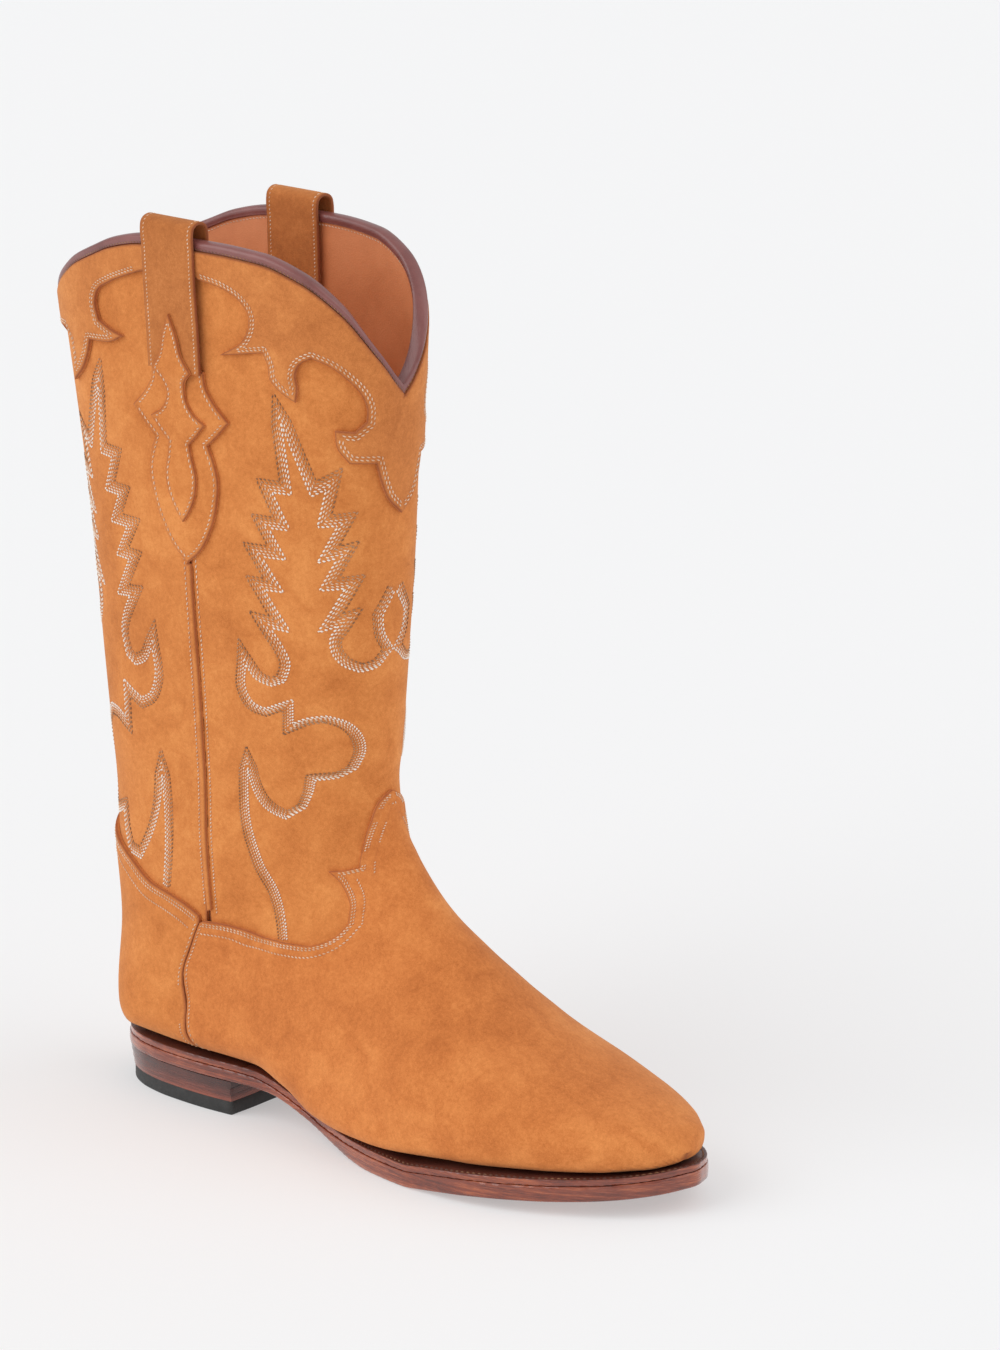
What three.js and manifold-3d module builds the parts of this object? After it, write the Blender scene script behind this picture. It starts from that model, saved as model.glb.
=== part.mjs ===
// Cowboy boot, right foot, EU 38-39: every leather, cork, steel and rubber piece as its own solid.
// Millimetres. +X to the toe, +Z up, +Y to the wearer's left (medial side of a right boot).
import * as THREE from 'three';
import { mergeVertices } from 'three/addons/utils/BufferGeometryUtils.js';
import Module from 'manifold-3d';

const wasm = await Module();
wasm.setup();

// ---------------------------------------------------------------- driving dimensions
const GAP = 0.3;                 // clearance between neighbouring pieces
const LEATHER = 1.6;             // upper leather
const LINING = 1.2;              // lining leather
const STRAP = 1.4;               // doubled pull-strap leather
const BINDING = 0.9;             // top binding
const WELT = 2.6;                // welt and heel rand
const HEEL_BREAST_X = 72;        // front face of the heel
const RUBBER = 5.4;              // rubber top lift
const LIFT = 2.5;                // one leather heel lift
const LIFT_COUNT = 3;
const NAIL_RADIUS = 0.9;
const MARGIN_INSET = 14;         // lasting margin, measured in from the outsole edge
const STRAP_HALF = 13;           // half width of a pull strap
const STRAP_RISE = 6.8;          // finger gap between the binding and the strap

// Layers of the upper, measured outwards from the outside face of the shaft leather.
const LAYER = {
  lining: [-LEATHER - GAP - LINING, -LEATHER - GAP],
  base: [-LEATHER, 0],
  over: [GAP, GAP + LEATHER],
};

// Sections of the boot, fanned round the heel: level at the top, upright at the toe.
// station (mm down the side seam), back/bottom point x z, front/top point x z, half width,
// share of the depth at which it is widest, roundness of the low end (p q) and of the
// high end (p q), sideways shift of the low and the high end.
const SECTIONS = [
  [-26, -35.5, 357.0, 137.0, 357.0, 35.8, 0.50, 2.5, 0.39, 2.5, 0.39, 0.0, 0.0],
  [0, -32.5, 334.5, 136.0, 334.5, 35.5, 0.50, 2.5, 0.39, 2.5, 0.39, 0.0, 0.0],
  [52, -26.0, 289.5, 133.5, 289.5, 35.0, 0.50, 2.5, 0.39, 2.5, 0.39, 0.0, 0.0],
  [104, -18.5, 234.5, 131.0, 234.5, 33.5, 0.50, 2.5, 0.40, 2.5, 0.40, 0.0, 0.0],
  [156, -12.0, 179.5, 128.5, 183.5, 32.0, 0.50, 2.4, 0.42, 2.4, 0.42, 0.0, 0.0],
  [198, -7.0, 134.5, 126.5, 159.5, 31.0, 0.47, 2.4, 0.42, 2.3, 0.44, 0.0, 0.0],
  [234, -3.5, 97.5, 125.5, 140.5, 30.5, 0.42, 2.3, 0.44, 2.2, 0.46, 0.0, 0.0],
  [265, -1.5, 64.5, 127.0, 126.5, 30.0, 0.36, 2.3, 0.45, 2.1, 0.48, 0.0, 0.0],
  [291, 0.0, 39.5, 131.0, 115.5, 30.0, 0.30, 2.8, 0.40, 2.0, 0.50, 0.0, 0.0],
  [303, 3.0, 28.5, 134.0, 111.0, 30.0, 0.27, 3.4, 0.35, 2.0, 0.50, 0.0, 0.0],
  [312, 11.0, 23.3, 137.0, 106.5, 30.0, 0.25, 4.2, 0.28, 2.0, 0.50, 0.0, 0.0],
  [333, 40.0, 23.3, 144.0, 97.5, 30.5, 0.24, 4.5, 0.25, 2.0, 0.50, -1.0, 0.0],
  [359, 80.0, 22.9, 154.5, 86.5, 33.0, 0.26, 3.6, 0.34, 2.0, 0.50, -2.0, 0.0],
  [374, 99.0, 18.1, 161.5, 81.0, 35.5, 0.28, 3.6, 0.32, 2.0, 0.50, -2.5, -0.5],
  [390, 119.0, 12.3, 170.0, 74.5, 38.5, 0.29, 4.6, 0.24, 2.0, 0.50, -2.5, -1.0],
  [408, 139.0, 11.2, 179.5, 67.5, 41.5, 0.29, 6.0, 0.18, 2.0, 0.50, -2.0, -1.0],
  [426, 160.0, 11.1, 190.0, 60.5, 43.5, 0.28, 7.0, 0.15, 2.1, 0.50, -1.5, -0.5],
  [458, 195.0, 13.5, 211.5, 49.5, 42.5, 0.30, 7.0, 0.15, 2.1, 0.50, 0.0, 0.5],
  [484, 225.0, 15.7, 233.0, 40.5, 36.5, 0.32, 6.0, 0.17, 2.1, 0.50, 2.0, 2.0],
  [504, 247.0, 17.2, 251.0, 34.0, 27.0, 0.35, 5.0, 0.20, 2.1, 0.50, 3.0, 3.0],
  [515, 259.0, 18.4, 261.0, 29.5, 17.5, 0.42, 4.0, 0.26, 2.1, 0.50, 3.6, 3.6],
  [520, 265.5, 19.4, 266.5, 25.0, 7.0, 0.50, 3.0, 0.30, 2.0, 0.50, 4.0, 4.0],
];
const TOE_STATION = 520;

// Scalloped top line: share of the girth from the back centre (0) to the front centre (0.5).
const TOP_LINE = [
  [0.0, 38], [0.05, 31], [0.08, 21.5], [0.107, 13.5], [0.14, 6.5], [0.172, 0.5], [0.21, -3.5],
  [0.25, -5], [0.30, -5], [0.352, -3.5], [0.395, 3], [0.434, 16], [0.467, 35], [0.49, 48], [0.5, 52],
];

// Outlines on the leather: [mm from the centre line of the piece, station]; one half, mirrored.
const VAMP_EDGE = [
  [0, 248], [4.5, 253], [10, 271], [15, 288], [18.5, 300], [24, 297.5], [30, 293], [27.5, 306],
  [28, 319], [32, 330], [38.5, 333], [48, 331.5], [58, 323], [71, 307], [82, 295.5], [92, 288],
];
const SHAFT_FRONT_FOOT = [[0, 290], [14, 308], [26, 338], [45, 344], [58, 336], [75, 320], [93, 302]];
const SHAFT_BACK_FOOT = [[0, 238], [18, 248], [36, 260], [51, 272], [64, 281], [86, 299]];
const COUNTER_EDGE = [[0, 224], [18, 234], [36, 246], [51, 259], [64, 268], [76, 278], [82, 284]];
const SIDE_SEAM = [[83, 288], [79, 297], [71, 308], [55.5, 322], [36.5, 334], [20, 345]];
const STIFFENER_FRONT = [[88, 301], [82, 314], [66, 330], [45, 342], [20, 352]];
const LINING_JOIN = 256;         // station of the seam between shaft lining and foot lining
const COLLAR_FRONT_EDGE = [
  [87, 10], [76, 12], [68, 16], [63.5, 22], [63, 27], [65.5, 34], [76, 42], [66, 40], [56.5, 38],
  [54, 43], [53, 48.5], [48.5, 53], [42, 56.5], [41.5, 51], [42.5, 45.5], [41, 41], [36.5, 38],
  [29.5, 41], [23.5, 46], [18.5, 52], [16, 58], [16, 63], [20, 66.5], [27, 66], [26, 72],
  [21.5, 77.5], [12, 78], [10, 84], [7, 90.5], [0, 97],
];
const COLLAR_BACK_EDGE = [
  [82, 12], [75, 15], [65.5, 19.5], [57.5, 25], [55, 31], [56, 38], [63, 41], [69, 42.5], [62, 46],
  [55, 47], [49, 47.5], [47, 52], [42, 59], [31, 66.5], [34, 57], [34, 50.5], [30, 46], [22, 47],
  [14, 51], [8, 58], [5, 66], [0, 74],
];
const TAIL_OUTLINE = [
  [13, 50.5], [13.5, 56], [17, 61.5], [24, 68], [17.5, 74], [13, 77.5], [15.5, 83], [17, 89],
  [16, 97], [12.5, 107], [7, 115.5], [0, 121],
];
const SPEAR_OUTLINE = [
  [0, 27], [3.5, 37], [5.5, 45], [9.5, 51], [5.5, 55.5], [4.5, 61], [7, 66], [13.5, 70], [9, 74.5],
  [5, 78], [6, 83], [7.5, 89], [6, 97], [2.5, 103], [0, 106],
];

// Plan outline of the outsole: x, lateral edge, medial edge.
const SOLE_PLAN = [
  [-1.5, -2, 2], [0.5, -8.5, 8.5], [5, -15.5, 15.5], [12, -21.5, 21.5], [22, -26, 26],
  [36, -28.8, 28.8], [54, -29.8, 30], [72, -29, 29.5], [90, -27.5, 27], [108, -28.5, 27],
  [125, -33, 31], [142, -39, 37], [160, -43.8, 41.7], [178, -46.2, 44.4], [195, -46, 45.2],
  [212, -43.2, 44.2], [228, -37.8, 41.2], [242, -30.6, 36.6], [254, -22.4, 29.8], [263, -13.8, 22.2],
  [268.5, -6.2, 15.2], [271.5, 1, 8.5],
];
// Height of the underside of the upper, and of the underside of the outsole, along x.
const SEAT = [
  [-10, 21.4], [70, 21.4], [80, 21.0], [89, 19.2], [99, 16.2], [109, 13.0], [120, 10.3], [134, 9.3],
  [150, 9.2], [172, 9.2], [182, 10.2], [195, 11.6], [215, 13.2], [239, 14.7], [253, 15.8], [265, 17.4],
  [276, 19.6],
];
const UNDERSIDE = [
  [-10, 13.8], [76, 13.8], [88, 13.0], [98, 10.8], [108, 7.6], [118, 4.9], [130, 2.3], [142, 0.6],
  [150, 0], [172, 0], [182, 0.9], [195, 2.3], [215, 4.0], [239, 5.6], [253, 6.8], [265, 8.4], [276, 10.6],
];

// ---------------------------------------------------------------- materials
const finish = (name, color, roughness, metalness = 0) => {
  const material = new THREE.MeshStandardMaterial({ color, roughness, metalness });
  material.name = name;
  return material;
};
const MATERIAL = {
  suede: finish('suede_tan', 0xc98a4a, 0.95),
  suedeDark: finish('suede_brown', 0xb87440, 0.95),
  lining: finish('lining_leather', 0xc98352, 0.6),
  binding: finish('binding_leather', 0x8a4c40, 0.45),
  board: finish('stiffener_board', 0xa98f6c, 0.9),
  sole: finish('sole_leather', 0x8f4a2c, 0.4),
  insole: finish('insole_leather', 0xb98d62, 0.7),
  cork: finish('cork', 0x8f6b45, 0.95),
  rubber: finish('rubber', 0x2b2725, 0.85),
  steel: finish('steel', 0x9a9a9a, 0.35, 1),
};

// ---------------------------------------------------------------- interpolation
const tangents = (xs, ys) => {
  const slope = xs.slice(1).map((x, i) => (ys[i + 1] - ys[i]) / (x - xs[i]));
  return xs.map((x, i) => {
    if (i === 0) return slope[0];
    if (i === xs.length - 1) return slope[i - 1];
    const product = slope[i - 1] * slope[i];
    return product <= 0 ? 0 : (2 * product) / (slope[i - 1] + slope[i]);
  });
};
// Monotone cubic through the points, straight beyond both ends.
const curve = (xs, ys) => {
  const m = tangents(xs, ys);
  const last = xs.length - 1;
  return (x) => {
    if (x <= xs[0]) return ys[0] + m[0] * (x - xs[0]);
    if (x >= xs[last]) return ys[last] + m[last] * (x - xs[last]);
    let i = 0;
    while (x > xs[i + 1]) i += 1;
    const h = xs[i + 1] - xs[i];
    const t = (x - xs[i]) / h;
    const s = 1 - t;
    return ys[i] * (1 + 2 * t) * s * s + ys[i + 1] * t * t * (3 - 2 * t)
      + h * t * s * (m[i] * s - m[i + 1] * t);
  };
};
const column = (rows, i) => rows.map((row) => row[i]);
const profile = (rows) => curve(column(rows, 0), column(rows, 1));
const sectionCurves = Array.from({ length: 12 }, (_, i) => (
  curve(column(SECTIONS, 0), column(SECTIONS, i + 1))
));
const seatZ = profile(SEAT);
const undersideZ = profile(UNDERSIDE);
const topLine = profile(TOP_LINE);
const topStation = (share) => {
  const s = share - Math.floor(share);
  return topLine(Math.min(s, 1 - s));
};

// ---------------------------------------------------------------- surface of the boot
// Every piece of the upper is built on the same facets, so the layers nest with an even gap.
const COLUMNS = 20;              // facets round the boot, a multiple of 4
const STATIONS = [
  -40, -22, 0, 30, 64, 100, 138, 174, 206, 234, 258, 280, 296, 306, 316, 338, 364, 392, 420,
  446, 468, 487, 503, 514, 520,
];
const FLAT_WIDTH = 400;          // flat pieces: share of the girth times this
const RIPPLE = 0.03;
// Share of the girth at a column line; closer together where the section turns tightly.
const columnShare = (k) => {
  const s = k / COLUMNS;
  return s - 0.026 * Math.sin(4 * Math.PI * s);
};

// Half a section, low end to high end, as [x, offset from the centre, centre, z].
const halfSection = (station) => {
  const [bx, bz, fx, fz, width, tm, pb, qb, pf, qf, yb, yf] = sectionCurves.map((f) => f(station));
  const points = [];
  for (let k = 0; k <= 360; k += 1) {
    const phi = -Math.PI / 2 + (Math.PI * k) / 360;
    const sine = Math.abs(Math.sin(phi));
    const cosine = Math.abs(Math.cos(phi));
    const low = phi < 0;
    const w = width * cosine ** (2 * (low ? qb : qf));
    const t = low ? tm - tm * sine ** (2 / pb) : tm + (1 - tm) * sine ** (2 / pf);
    points.push([bx + (fx - bx) * t, w, yb + (yf - yb) * t, bz + (fz - bz) * t]);
  }
  return points;
};
const section = (station) => {
  const half = halfSection(station);
  const reach = [0];
  for (let k = 1; k < half.length; k += 1) {
    const [a, b] = [half[k - 1], half[k]];
    reach.push(reach[k - 1] + Math.hypot(b[0] - a[0], b[1] - a[1], b[3] - a[3]));
  }
  const total = reach[half.length - 1];
  const at = (share, side) => {
    const goal = share * total;
    let k = 0;
    while (k < half.length - 2 && reach[k + 1] < goal) k += 1;
    const t = (goal - reach[k]) / (reach[k + 1] - reach[k]);
    const [x, w, c, z] = half[k].map((value, i) => value + (half[k + 1][i] - value) * t);
    return new THREE.Vector3(x, c + side * w, z);
  };
  const ring = (shift) => Array.from({ length: COLUMNS }, (_, k) => {
    const share = (((2 * (columnShare(k) + shift)) % 2) + 2) % 2;
    return share <= 1 ? at(share, -1) : at(2 - share, 1);
  });
  return { points: ring(0), before: ring(-0.01), after: ring(0.01), girth: 2 * total };
};
const NODES = STATIONS.map((t) => section(t));
const NORMALS = STATIONS.map((t, i) => {
  const [up, down] = [section(t - 2), section(Math.min(t + 2, TOE_STATION))];
  return NODES[i].points.map((_, k) => {
    const along = down.points[k].clone().sub(up.points[k]);
    const round = NODES[i].after[k].clone().sub(NODES[i].before[k]);
    return along.cross(round).normalize();
  });
});
const girth = curve(STATIONS, NODES.map((node) => node.girth));

// Point on the facets: share of the girth from the back centre, station, distance outwards.
const surface = (share, station, offset) => {
  const turn = share - Math.floor(share);
  let k = 0;
  while (k < COLUMNS - 1 && columnShare(k + 1) <= turn) k += 1;
  const t = (turn - columnShare(k)) / (columnShare(k + 1) - columnShare(k));
  let i = 0;
  while (i < STATIONS.length - 2 && STATIONS[i + 1] <= station) i += 1;
  const s = (Math.min(station, TOE_STATION) - STATIONS[i]) / (STATIONS[i + 1] - STATIONS[i]);
  const next = (k + 1) % COLUMNS;
  // Flat triangles, split the same way as in the closed bodies.
  const mix = (grid) => {
    const [a, b, c, d] = [grid(i)[k], grid(i)[next], grid(i + 1)[k], grid(i + 1)[next]];
    const [corner, p, q, u, v] = t + s <= 1 ? [a, b, c, t, s] : [d, c, b, 1 - t, 1 - s];
    return corner.clone().addScaledVector(p, u).addScaledVector(q, v).addScaledVector(corner, -u - v);
  };
  return mix((row) => NODES[row].points).addScaledVector(mix((row) => NORMALS[row]), offset);
};

// ---------------------------------------------------------------- solids
// Six times the signed volume of a closed mesh; negative when its faces point inwards.
const signedVolume = (p, triangles) => {
  let sum = 0;
  for (let i = 0; i < triangles.length; i += 3) {
    const [a, b, c] = [3 * triangles[i], 3 * triangles[i + 1], 3 * triangles[i + 2]];
    sum += p[a] * (p[b + 1] * p[c + 2] - p[b + 2] * p[c + 1])
      + p[a + 1] * (p[b + 2] * p[c] - p[b] * p[c + 2])
      + p[a + 2] * (p[b] * p[c + 1] - p[b + 1] * p[c]);
  }
  return sum;
};
const fromArrays = (positions, triangles) => {
  const order = Array.from(triangles);
  if (signedVolume(positions, order) < 0) order.reverse();
  return new wasm.Manifold(new wasm.Mesh({
    numProp: 3,
    vertProperties: new Float32Array(positions),
    triVerts: new Uint32Array(order),
  }));
};
const fromGeometry = (geometry) => {
  const bare = geometry.clone();
  bare.deleteAttribute('normal');
  bare.deleteAttribute('uv');
  const merged = mergeVertices(bare, 1e-4);
  return fromArrays(merged.attributes.position.array, merged.index.array);
};
const toGeometry = (solid) => {
  const mesh = solid.getMesh();
  const geometry = new THREE.BufferGeometry();
  const points = [];
  for (let i = 0; i < mesh.vertProperties.length; i += mesh.numProp) {
    points.push(...mesh.vertProperties.slice(i, i + 3));
  }
  geometry.setAttribute('position', new THREE.Float32BufferAttribute(points, 3));
  geometry.setIndex(Array.from(mesh.triVerts));
  return geometry;
};
const bend = (solid, move) => {
  const mesh = solid.getMesh();
  const points = [];
  for (let i = 0; i < mesh.vertProperties.length; i += mesh.numProp) {
    const p = move(...mesh.vertProperties.slice(i, i + 3));
    points.push(p.x, p.y, p.z);
  }
  return fromArrays(points, Array.from(mesh.triVerts));
};
// Upright prism over a closed outline.
const prism = (outline, low, high) => {
  const shape = new THREE.Shape(outline.map(([x, y]) => new THREE.Vector2(x, y)));
  const geometry = new THREE.ExtrudeGeometry(shape, { depth: high - low, bevelEnabled: false });
  return fromGeometry(geometry.translate(0, 0, low));
};
const extent = (outline) => {
  const [xs, ys] = [column(outline, 0), column(outline, 1)];
  return [Math.min(...xs), Math.min(...ys), Math.max(...xs), Math.max(...ys)];
};
// Slab with its own grid lines so that it can bend, its facets split like those of the boot body.
// A ripple of a few hundredths keeps booleans from dropping the lines.
const griddedSlab = (xs, ys, low, high) => {
  const positions = [];
  const triangles = [];
  ys.forEach((y) => xs.forEach((x) => {
    const ripple = RIPPLE * Math.sin(37.1 * x + 23.7 * y);
    positions.push(x, y, low + ripple, x, y, high + ripple);
  }));
  const [nx, ny] = [xs.length - 1, ys.length - 1];
  const at = (i, j, top) => 2 * (j * xs.length + i) + top;
  const side = (i, j, p, q) => {
    triangles.push(at(i, j, 0), at(p, q, 0), at(p, q, 1), at(i, j, 0), at(p, q, 1), at(i, j, 1));
  };
  for (let j = 0; j < ny; j += 1) {
    for (let i = 0; i < nx; i += 1) {
      const cell = [[i, j], [i + 1, j], [i, j + 1], [i + 1, j + 1]];
      const corners = (top) => cell.map(([p, q]) => at(p, q, top));
      const [a, b, c, d] = corners(1);
      triangles.push(a, b, c, b, d, c);
      const [e, f, g, h] = corners(0);
      triangles.push(e, g, f, f, g, h);
    }
    side(0, j + 1, 0, j);
    side(nx, j, nx, j + 1);
  }
  for (let i = 0; i < nx; i += 1) {
    side(i, 0, i + 1, 0);
    side(i + 1, ny, i, ny);
  }
  return fromArrays(positions, triangles);
};
// The lines from a long list that cover a range, with one to spare at each end.
const covering = (lines, low, high) => lines.filter((line, i) => {
  const [before, after] = [lines[i - 1] ?? -Infinity, lines[i + 1] ?? Infinity];
  return after > low - 0.5 && before < high + 0.5;
});
const COLUMN_LINES = Array.from({ length: 3 * COLUMNS + 1 }, (_, i) => {
  const k = i - COLUMNS;
  const turns = Math.floor(k / COLUMNS);
  return (columnShare(k - turns * COLUMNS) + turns) * FLAT_WIDTH;
});
// Outline in [mm from the centre line, station] laid on the boot as a sheet between two offsets.
const laid = (centre, outline, low, high, lift = () => 0, extraLines = []) => {
  const flat = outline.map(([a, t]) => [(centre + a / girth(t)) * FLAT_WIDTH, t]);
  const [u0, t0, u1, t1] = extent(flat);
  const rows = [...STATIONS, ...extraLines].sort((p, q) => p - q);
  const slab = griddedSlab(covering(COLUMN_LINES, u0, u1), covering(rows, t0, t1), low, high);
  const sheet = slab.intersect(prism(flat, low - 1, high + 1));
  return bend(sheet, (u, t, d) => surface(u / FLAT_WIDTH, t, d + lift(t)));
};
// Cutting block over an outline, a little thicker than the layer it cuts.
const cutter = (centre, outline, layer) => laid(centre, outline, layer[0] - 0.8, layer[1] + 0.8);

// Closed body of the boot, pushed outwards by an offset, from a station down to the toe.
const body = (offset, top) => {
  const stations = [top, ...STATIONS.filter((t) => t > top + 1)];
  const positions = [];
  const triangles = [];
  const centre = (t, push) => {
    const middle = new THREE.Vector3();
    for (let k = 0; k < COLUMNS; k += 1) middle.add(surface(columnShare(k), t, offset));
    middle.divideScalar(COLUMNS);
    return [middle.x + push, middle.y, middle.z];
  };
  stations.forEach((t) => {
    for (let k = 0; k < COLUMNS; k += 1) {
      const p = surface(columnShare(k), t, offset);
      positions.push(p.x, p.y, p.z);
    }
  });
  const last = stations.length - 1;
  const topCentre = positions.length / 3;
  positions.push(...centre(stations[0], 0), ...centre(stations[last], 0.4));
  for (let k = 0; k < COLUMNS; k += 1) {
    const next = (k + 1) % COLUMNS;
    triangles.push(topCentre, next, k);
    triangles.push(topCentre + 1, last * COLUMNS + k, last * COLUMNS + next);
    for (let i = 0; i < last; i += 1) {
      const [a, b] = [i * COLUMNS + k, i * COLUMNS + next];
      triangles.push(a, b, a + COLUMNS, b, b + COLUMNS, a + COLUMNS);
    }
  }
  return fromArrays(positions, triangles);
};
const shell = ([low, high], top) => body(high, top).subtract(body(low, top - 14));

// ---------------------------------------------------------------- outlines
const backwards = (points) => points.slice().reverse();
const mirrored = (half) => [...half, ...backwards(half).filter(([a]) => a > 0).map(([a, t]) => [-a, t])];
// Region of the leather above an edge that runs from the centre line outwards.
const above = (edge, from = -24) => {
  const outer = edge[edge.length - 1][0];
  return mirrored([[0, from], [outer, from], ...backwards(edge)]);
};
// Same edge moved down the leather.
const lowered = (edge, by) => edge.map(([a, t]) => [a, t + by]);
// Quarter of the scalloped top line, from the side seam to the centre line, moved down by `drop`.
const topEdge = (centre, steps, drop, inset) => Array.from({ length: steps + 1 }, (_, k) => {
  const share = 0.25 * (1 - k / steps);
  const t = topStation(centre + share) + drop;
  return [Math.max(share * girth(t) - (k === 0 ? inset : 0), 0), t];
});
const SEAM_STATIONS = [20, 50, 90, 130, 170, 210, 250];
const SEAM_INSET = 0.3;          // half the gap between two panels at the side seam
// Shaft panel: scalloped top line, side seam, foot edge.
const panel = (centre, foot) => {
  const side = SEAM_STATIONS.map((t) => [girth(t) / 4 - SEAM_INSET, t]);
  return mirrored([...backwards(topEdge(centre, 14, 0, SEAM_INSET)), ...side, ...backwards(foot)]);
};
const planSide = (i) => profile(SOLE_PLAN.map((row) => [row[0], row[i]]));
const soleLoop = (points) => {
  const [lateral, medial] = [planSide(1), planSide(2)];
  const [x0, x1] = [SOLE_PLAN[0][0], SOLE_PLAN[SOLE_PLAN.length - 1][0]];
  const share = (k) => (1 - Math.cos((Math.PI * k) / (points - 1))) / 2;
  const xs = Array.from({ length: points }, (_, k) => x0 + (x1 - x0) * share(k));
  return [...xs.map((x) => [x, lateral(x)]), ...backwards(xs).map((x) => [x, medial(x)])];
};
const distanceToLoop = ([px, py], loop) => Math.min(...loop.map(([ax, ay], k) => {
  const [bx, by] = loop[(k + 1) % loop.length];
  const [dx, dy] = [bx - ax, by - ay];
  const t = Math.min(Math.max(((px - ax) * dx + (py - ay) * dy) / (dx * dx + dy * dy), 0), 1);
  return Math.hypot(px - ax - t * dx, py - ay - t * dy);
}));
// Outsole outline moved inwards; points that would cross over or crowd are left out.
const soleOutline = (inset = 0, pitch = 7) => {
  const loop = soleLoop(70);
  const moved = loop.map(([x, y], k) => {
    const before = loop[(k + loop.length - 1) % loop.length];
    const after = loop[(k + 1) % loop.length];
    const [dx, dy] = [after[0] - before[0], after[1] - before[1]];
    const length = Math.hypot(dx, dy);
    return [x - (dy / length) * inset, y + (dx / length) * inset];
  });
  const kept = [];
  moved.filter((point) => distanceToLoop(point, loop) > inset * 0.985 - 0.01).forEach((point) => {
    const [last, first] = [kept[kept.length - 1], kept[0]];
    const clear = (other) => !other || Math.hypot(point[0] - other[0], point[1] - other[1]) > pitch;
    if (clear(last) && clear(first)) kept.push(point);
  });
  return kept;
};
// Layer of the bottom: a slab between two height profiles, cut to a plan outline.
const SOLE_LINES = Array.from({ length: 31 }, (_, k) => -20 + 10 * k);
const soleSlab = (x0, x1, lowZ, highZ) => {
  const slab = griddedSlab(covering(SOLE_LINES, x0, x1), [-70, 70], 0, 1);
  return bend(slab, (x, y, level) => new THREE.Vector3(x, y, level > 0.5 ? highZ(x) : lowZ(x)));
};
const soleLayer = (outline, lowZ, highZ) => {
  const [x0, , x1] = extent(outline);
  return soleSlab(x0, x1, lowZ, highZ).intersect(prism(outline, -10, 60));
};
const seatPlus = (rise) => (x) => seatZ(x) + rise;
// Plan window used to cut a layer into a heel part and a foot part.
const window = (x0, x1) => prism([[x0, -80], [x1, -80], [x1, 80], [x0, 80]], -60, 400);

// ---------------------------------------------------------------- upper
const FOOT_TOP = 210;
const marginHole = prism(soleOutline(MARGIN_INSET), -5, 33);
const seamRegion = (edge, from) => mirrored([[0, from], [92, from], [92, edge[0][1] - 4], ...edge]);

const shaftPanel = (centre, foot) => laid(centre, panel(centre, foot), ...LAYER.base);
const shaftLining = (centre) => {
  const foot = [[0, LINING_JOIN], [42, LINING_JOIN], [girth(LINING_JOIN) / 4 - SEAM_INSET, LINING_JOIN]];
  return laid(centre, panel(centre, foot), ...LAYER.lining);
};
const BINDING_DEPTH = 4;         // how far the binding reaches down each face
const collar = (centre, edge) => {
  const top = topEdge(centre, 18, BINDING_DEPTH + 0.4, SEAM_INSET + 0.1);
  const side = [[girth(9) / 4 - SEAM_INSET - 0.1, 8]];
  return laid(centre, mirrored([...backwards(top), ...side, ...edge]), ...LAYER.over);
};
const footShell = (layer) => shell(layer, FOOT_TOP).subtract(marginHole);
const vamp = () => footShell(LAYER.over)
  .subtract(cutter(0.5, above([...VAMP_EDGE, [96, 287]], 160), LAYER.over))
  .subtract(cutter(0, seamRegion(SIDE_SEAM, 160), LAYER.over));
const counterOutline = () => mirrored([...COUNTER_EDGE, ...SIDE_SEAM.map(([a, t]) => [a - 0.7, t - 0.6])]);
const counter = () => laid(0, counterOutline(), ...LAYER.over).subtract(marginHole);
const stiffenerOutline = () => mirrored([...lowered(SHAFT_BACK_FOOT, 0.6), ...STIFFENER_FRONT]);
const heelStiffener = () => laid(0, stiffenerOutline(), ...LAYER.base).subtract(marginHole);
const TOE_BOX_X = 214;
const toeBox = () => footShell(LAYER.base).intersect(window(TOE_BOX_X, 400));
const interlining = () => {
  const aroundHeel = STIFFENER_FRONT.map(([a, t]) => [a + 0.5, t + 0.5]);
  return footShell(LAYER.base)
    .subtract(window(TOE_BOX_X - GAP, 400))
    .subtract(cutter(0.5, above([...lowered(SHAFT_FRONT_FOOT, 0.6), [97, 302.6]], 160), LAYER.base))
    .subtract(cutter(0, seamRegion(aroundHeel, 160), LAYER.base));
};
const LINING_SPLIT_X = 96;
const aboveJoin = (outer) => above([[0, LINING_JOIN + 0.5], [outer, LINING_JOIN + 0.5]], 160);
const footLining = () => footShell(LAYER.lining)
  .subtract(cutter(0.5, aboveJoin(96), LAYER.lining))
  .subtract(cutter(0, aboveJoin(90), LAYER.lining));
const vampLining = (lining) => lining.intersect(window(LINING_SPLIT_X, 400));
const heelLining = (lining) => lining.intersect(window(-100, LINING_SPLIT_X - GAP));

// Shares of the girth at which the binding has a ring: samples of the top line and column lines.
const bindingShares = (samples) => {
  const [low, high] = [samples[0] + 0.001, samples[samples.length - 1] - 0.001];
  const lines = COLUMN_LINES.map((line) => line / FLAT_WIDTH);
  const inside = [...samples, ...lines].filter((s) => s > low + 0.001 && s < high - 0.001);
  const sorted = inside.sort((p, q) => p - q).map((s) => Number(s.toFixed(5)));
  return [low, ...new Set(sorted), high];
};
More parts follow.
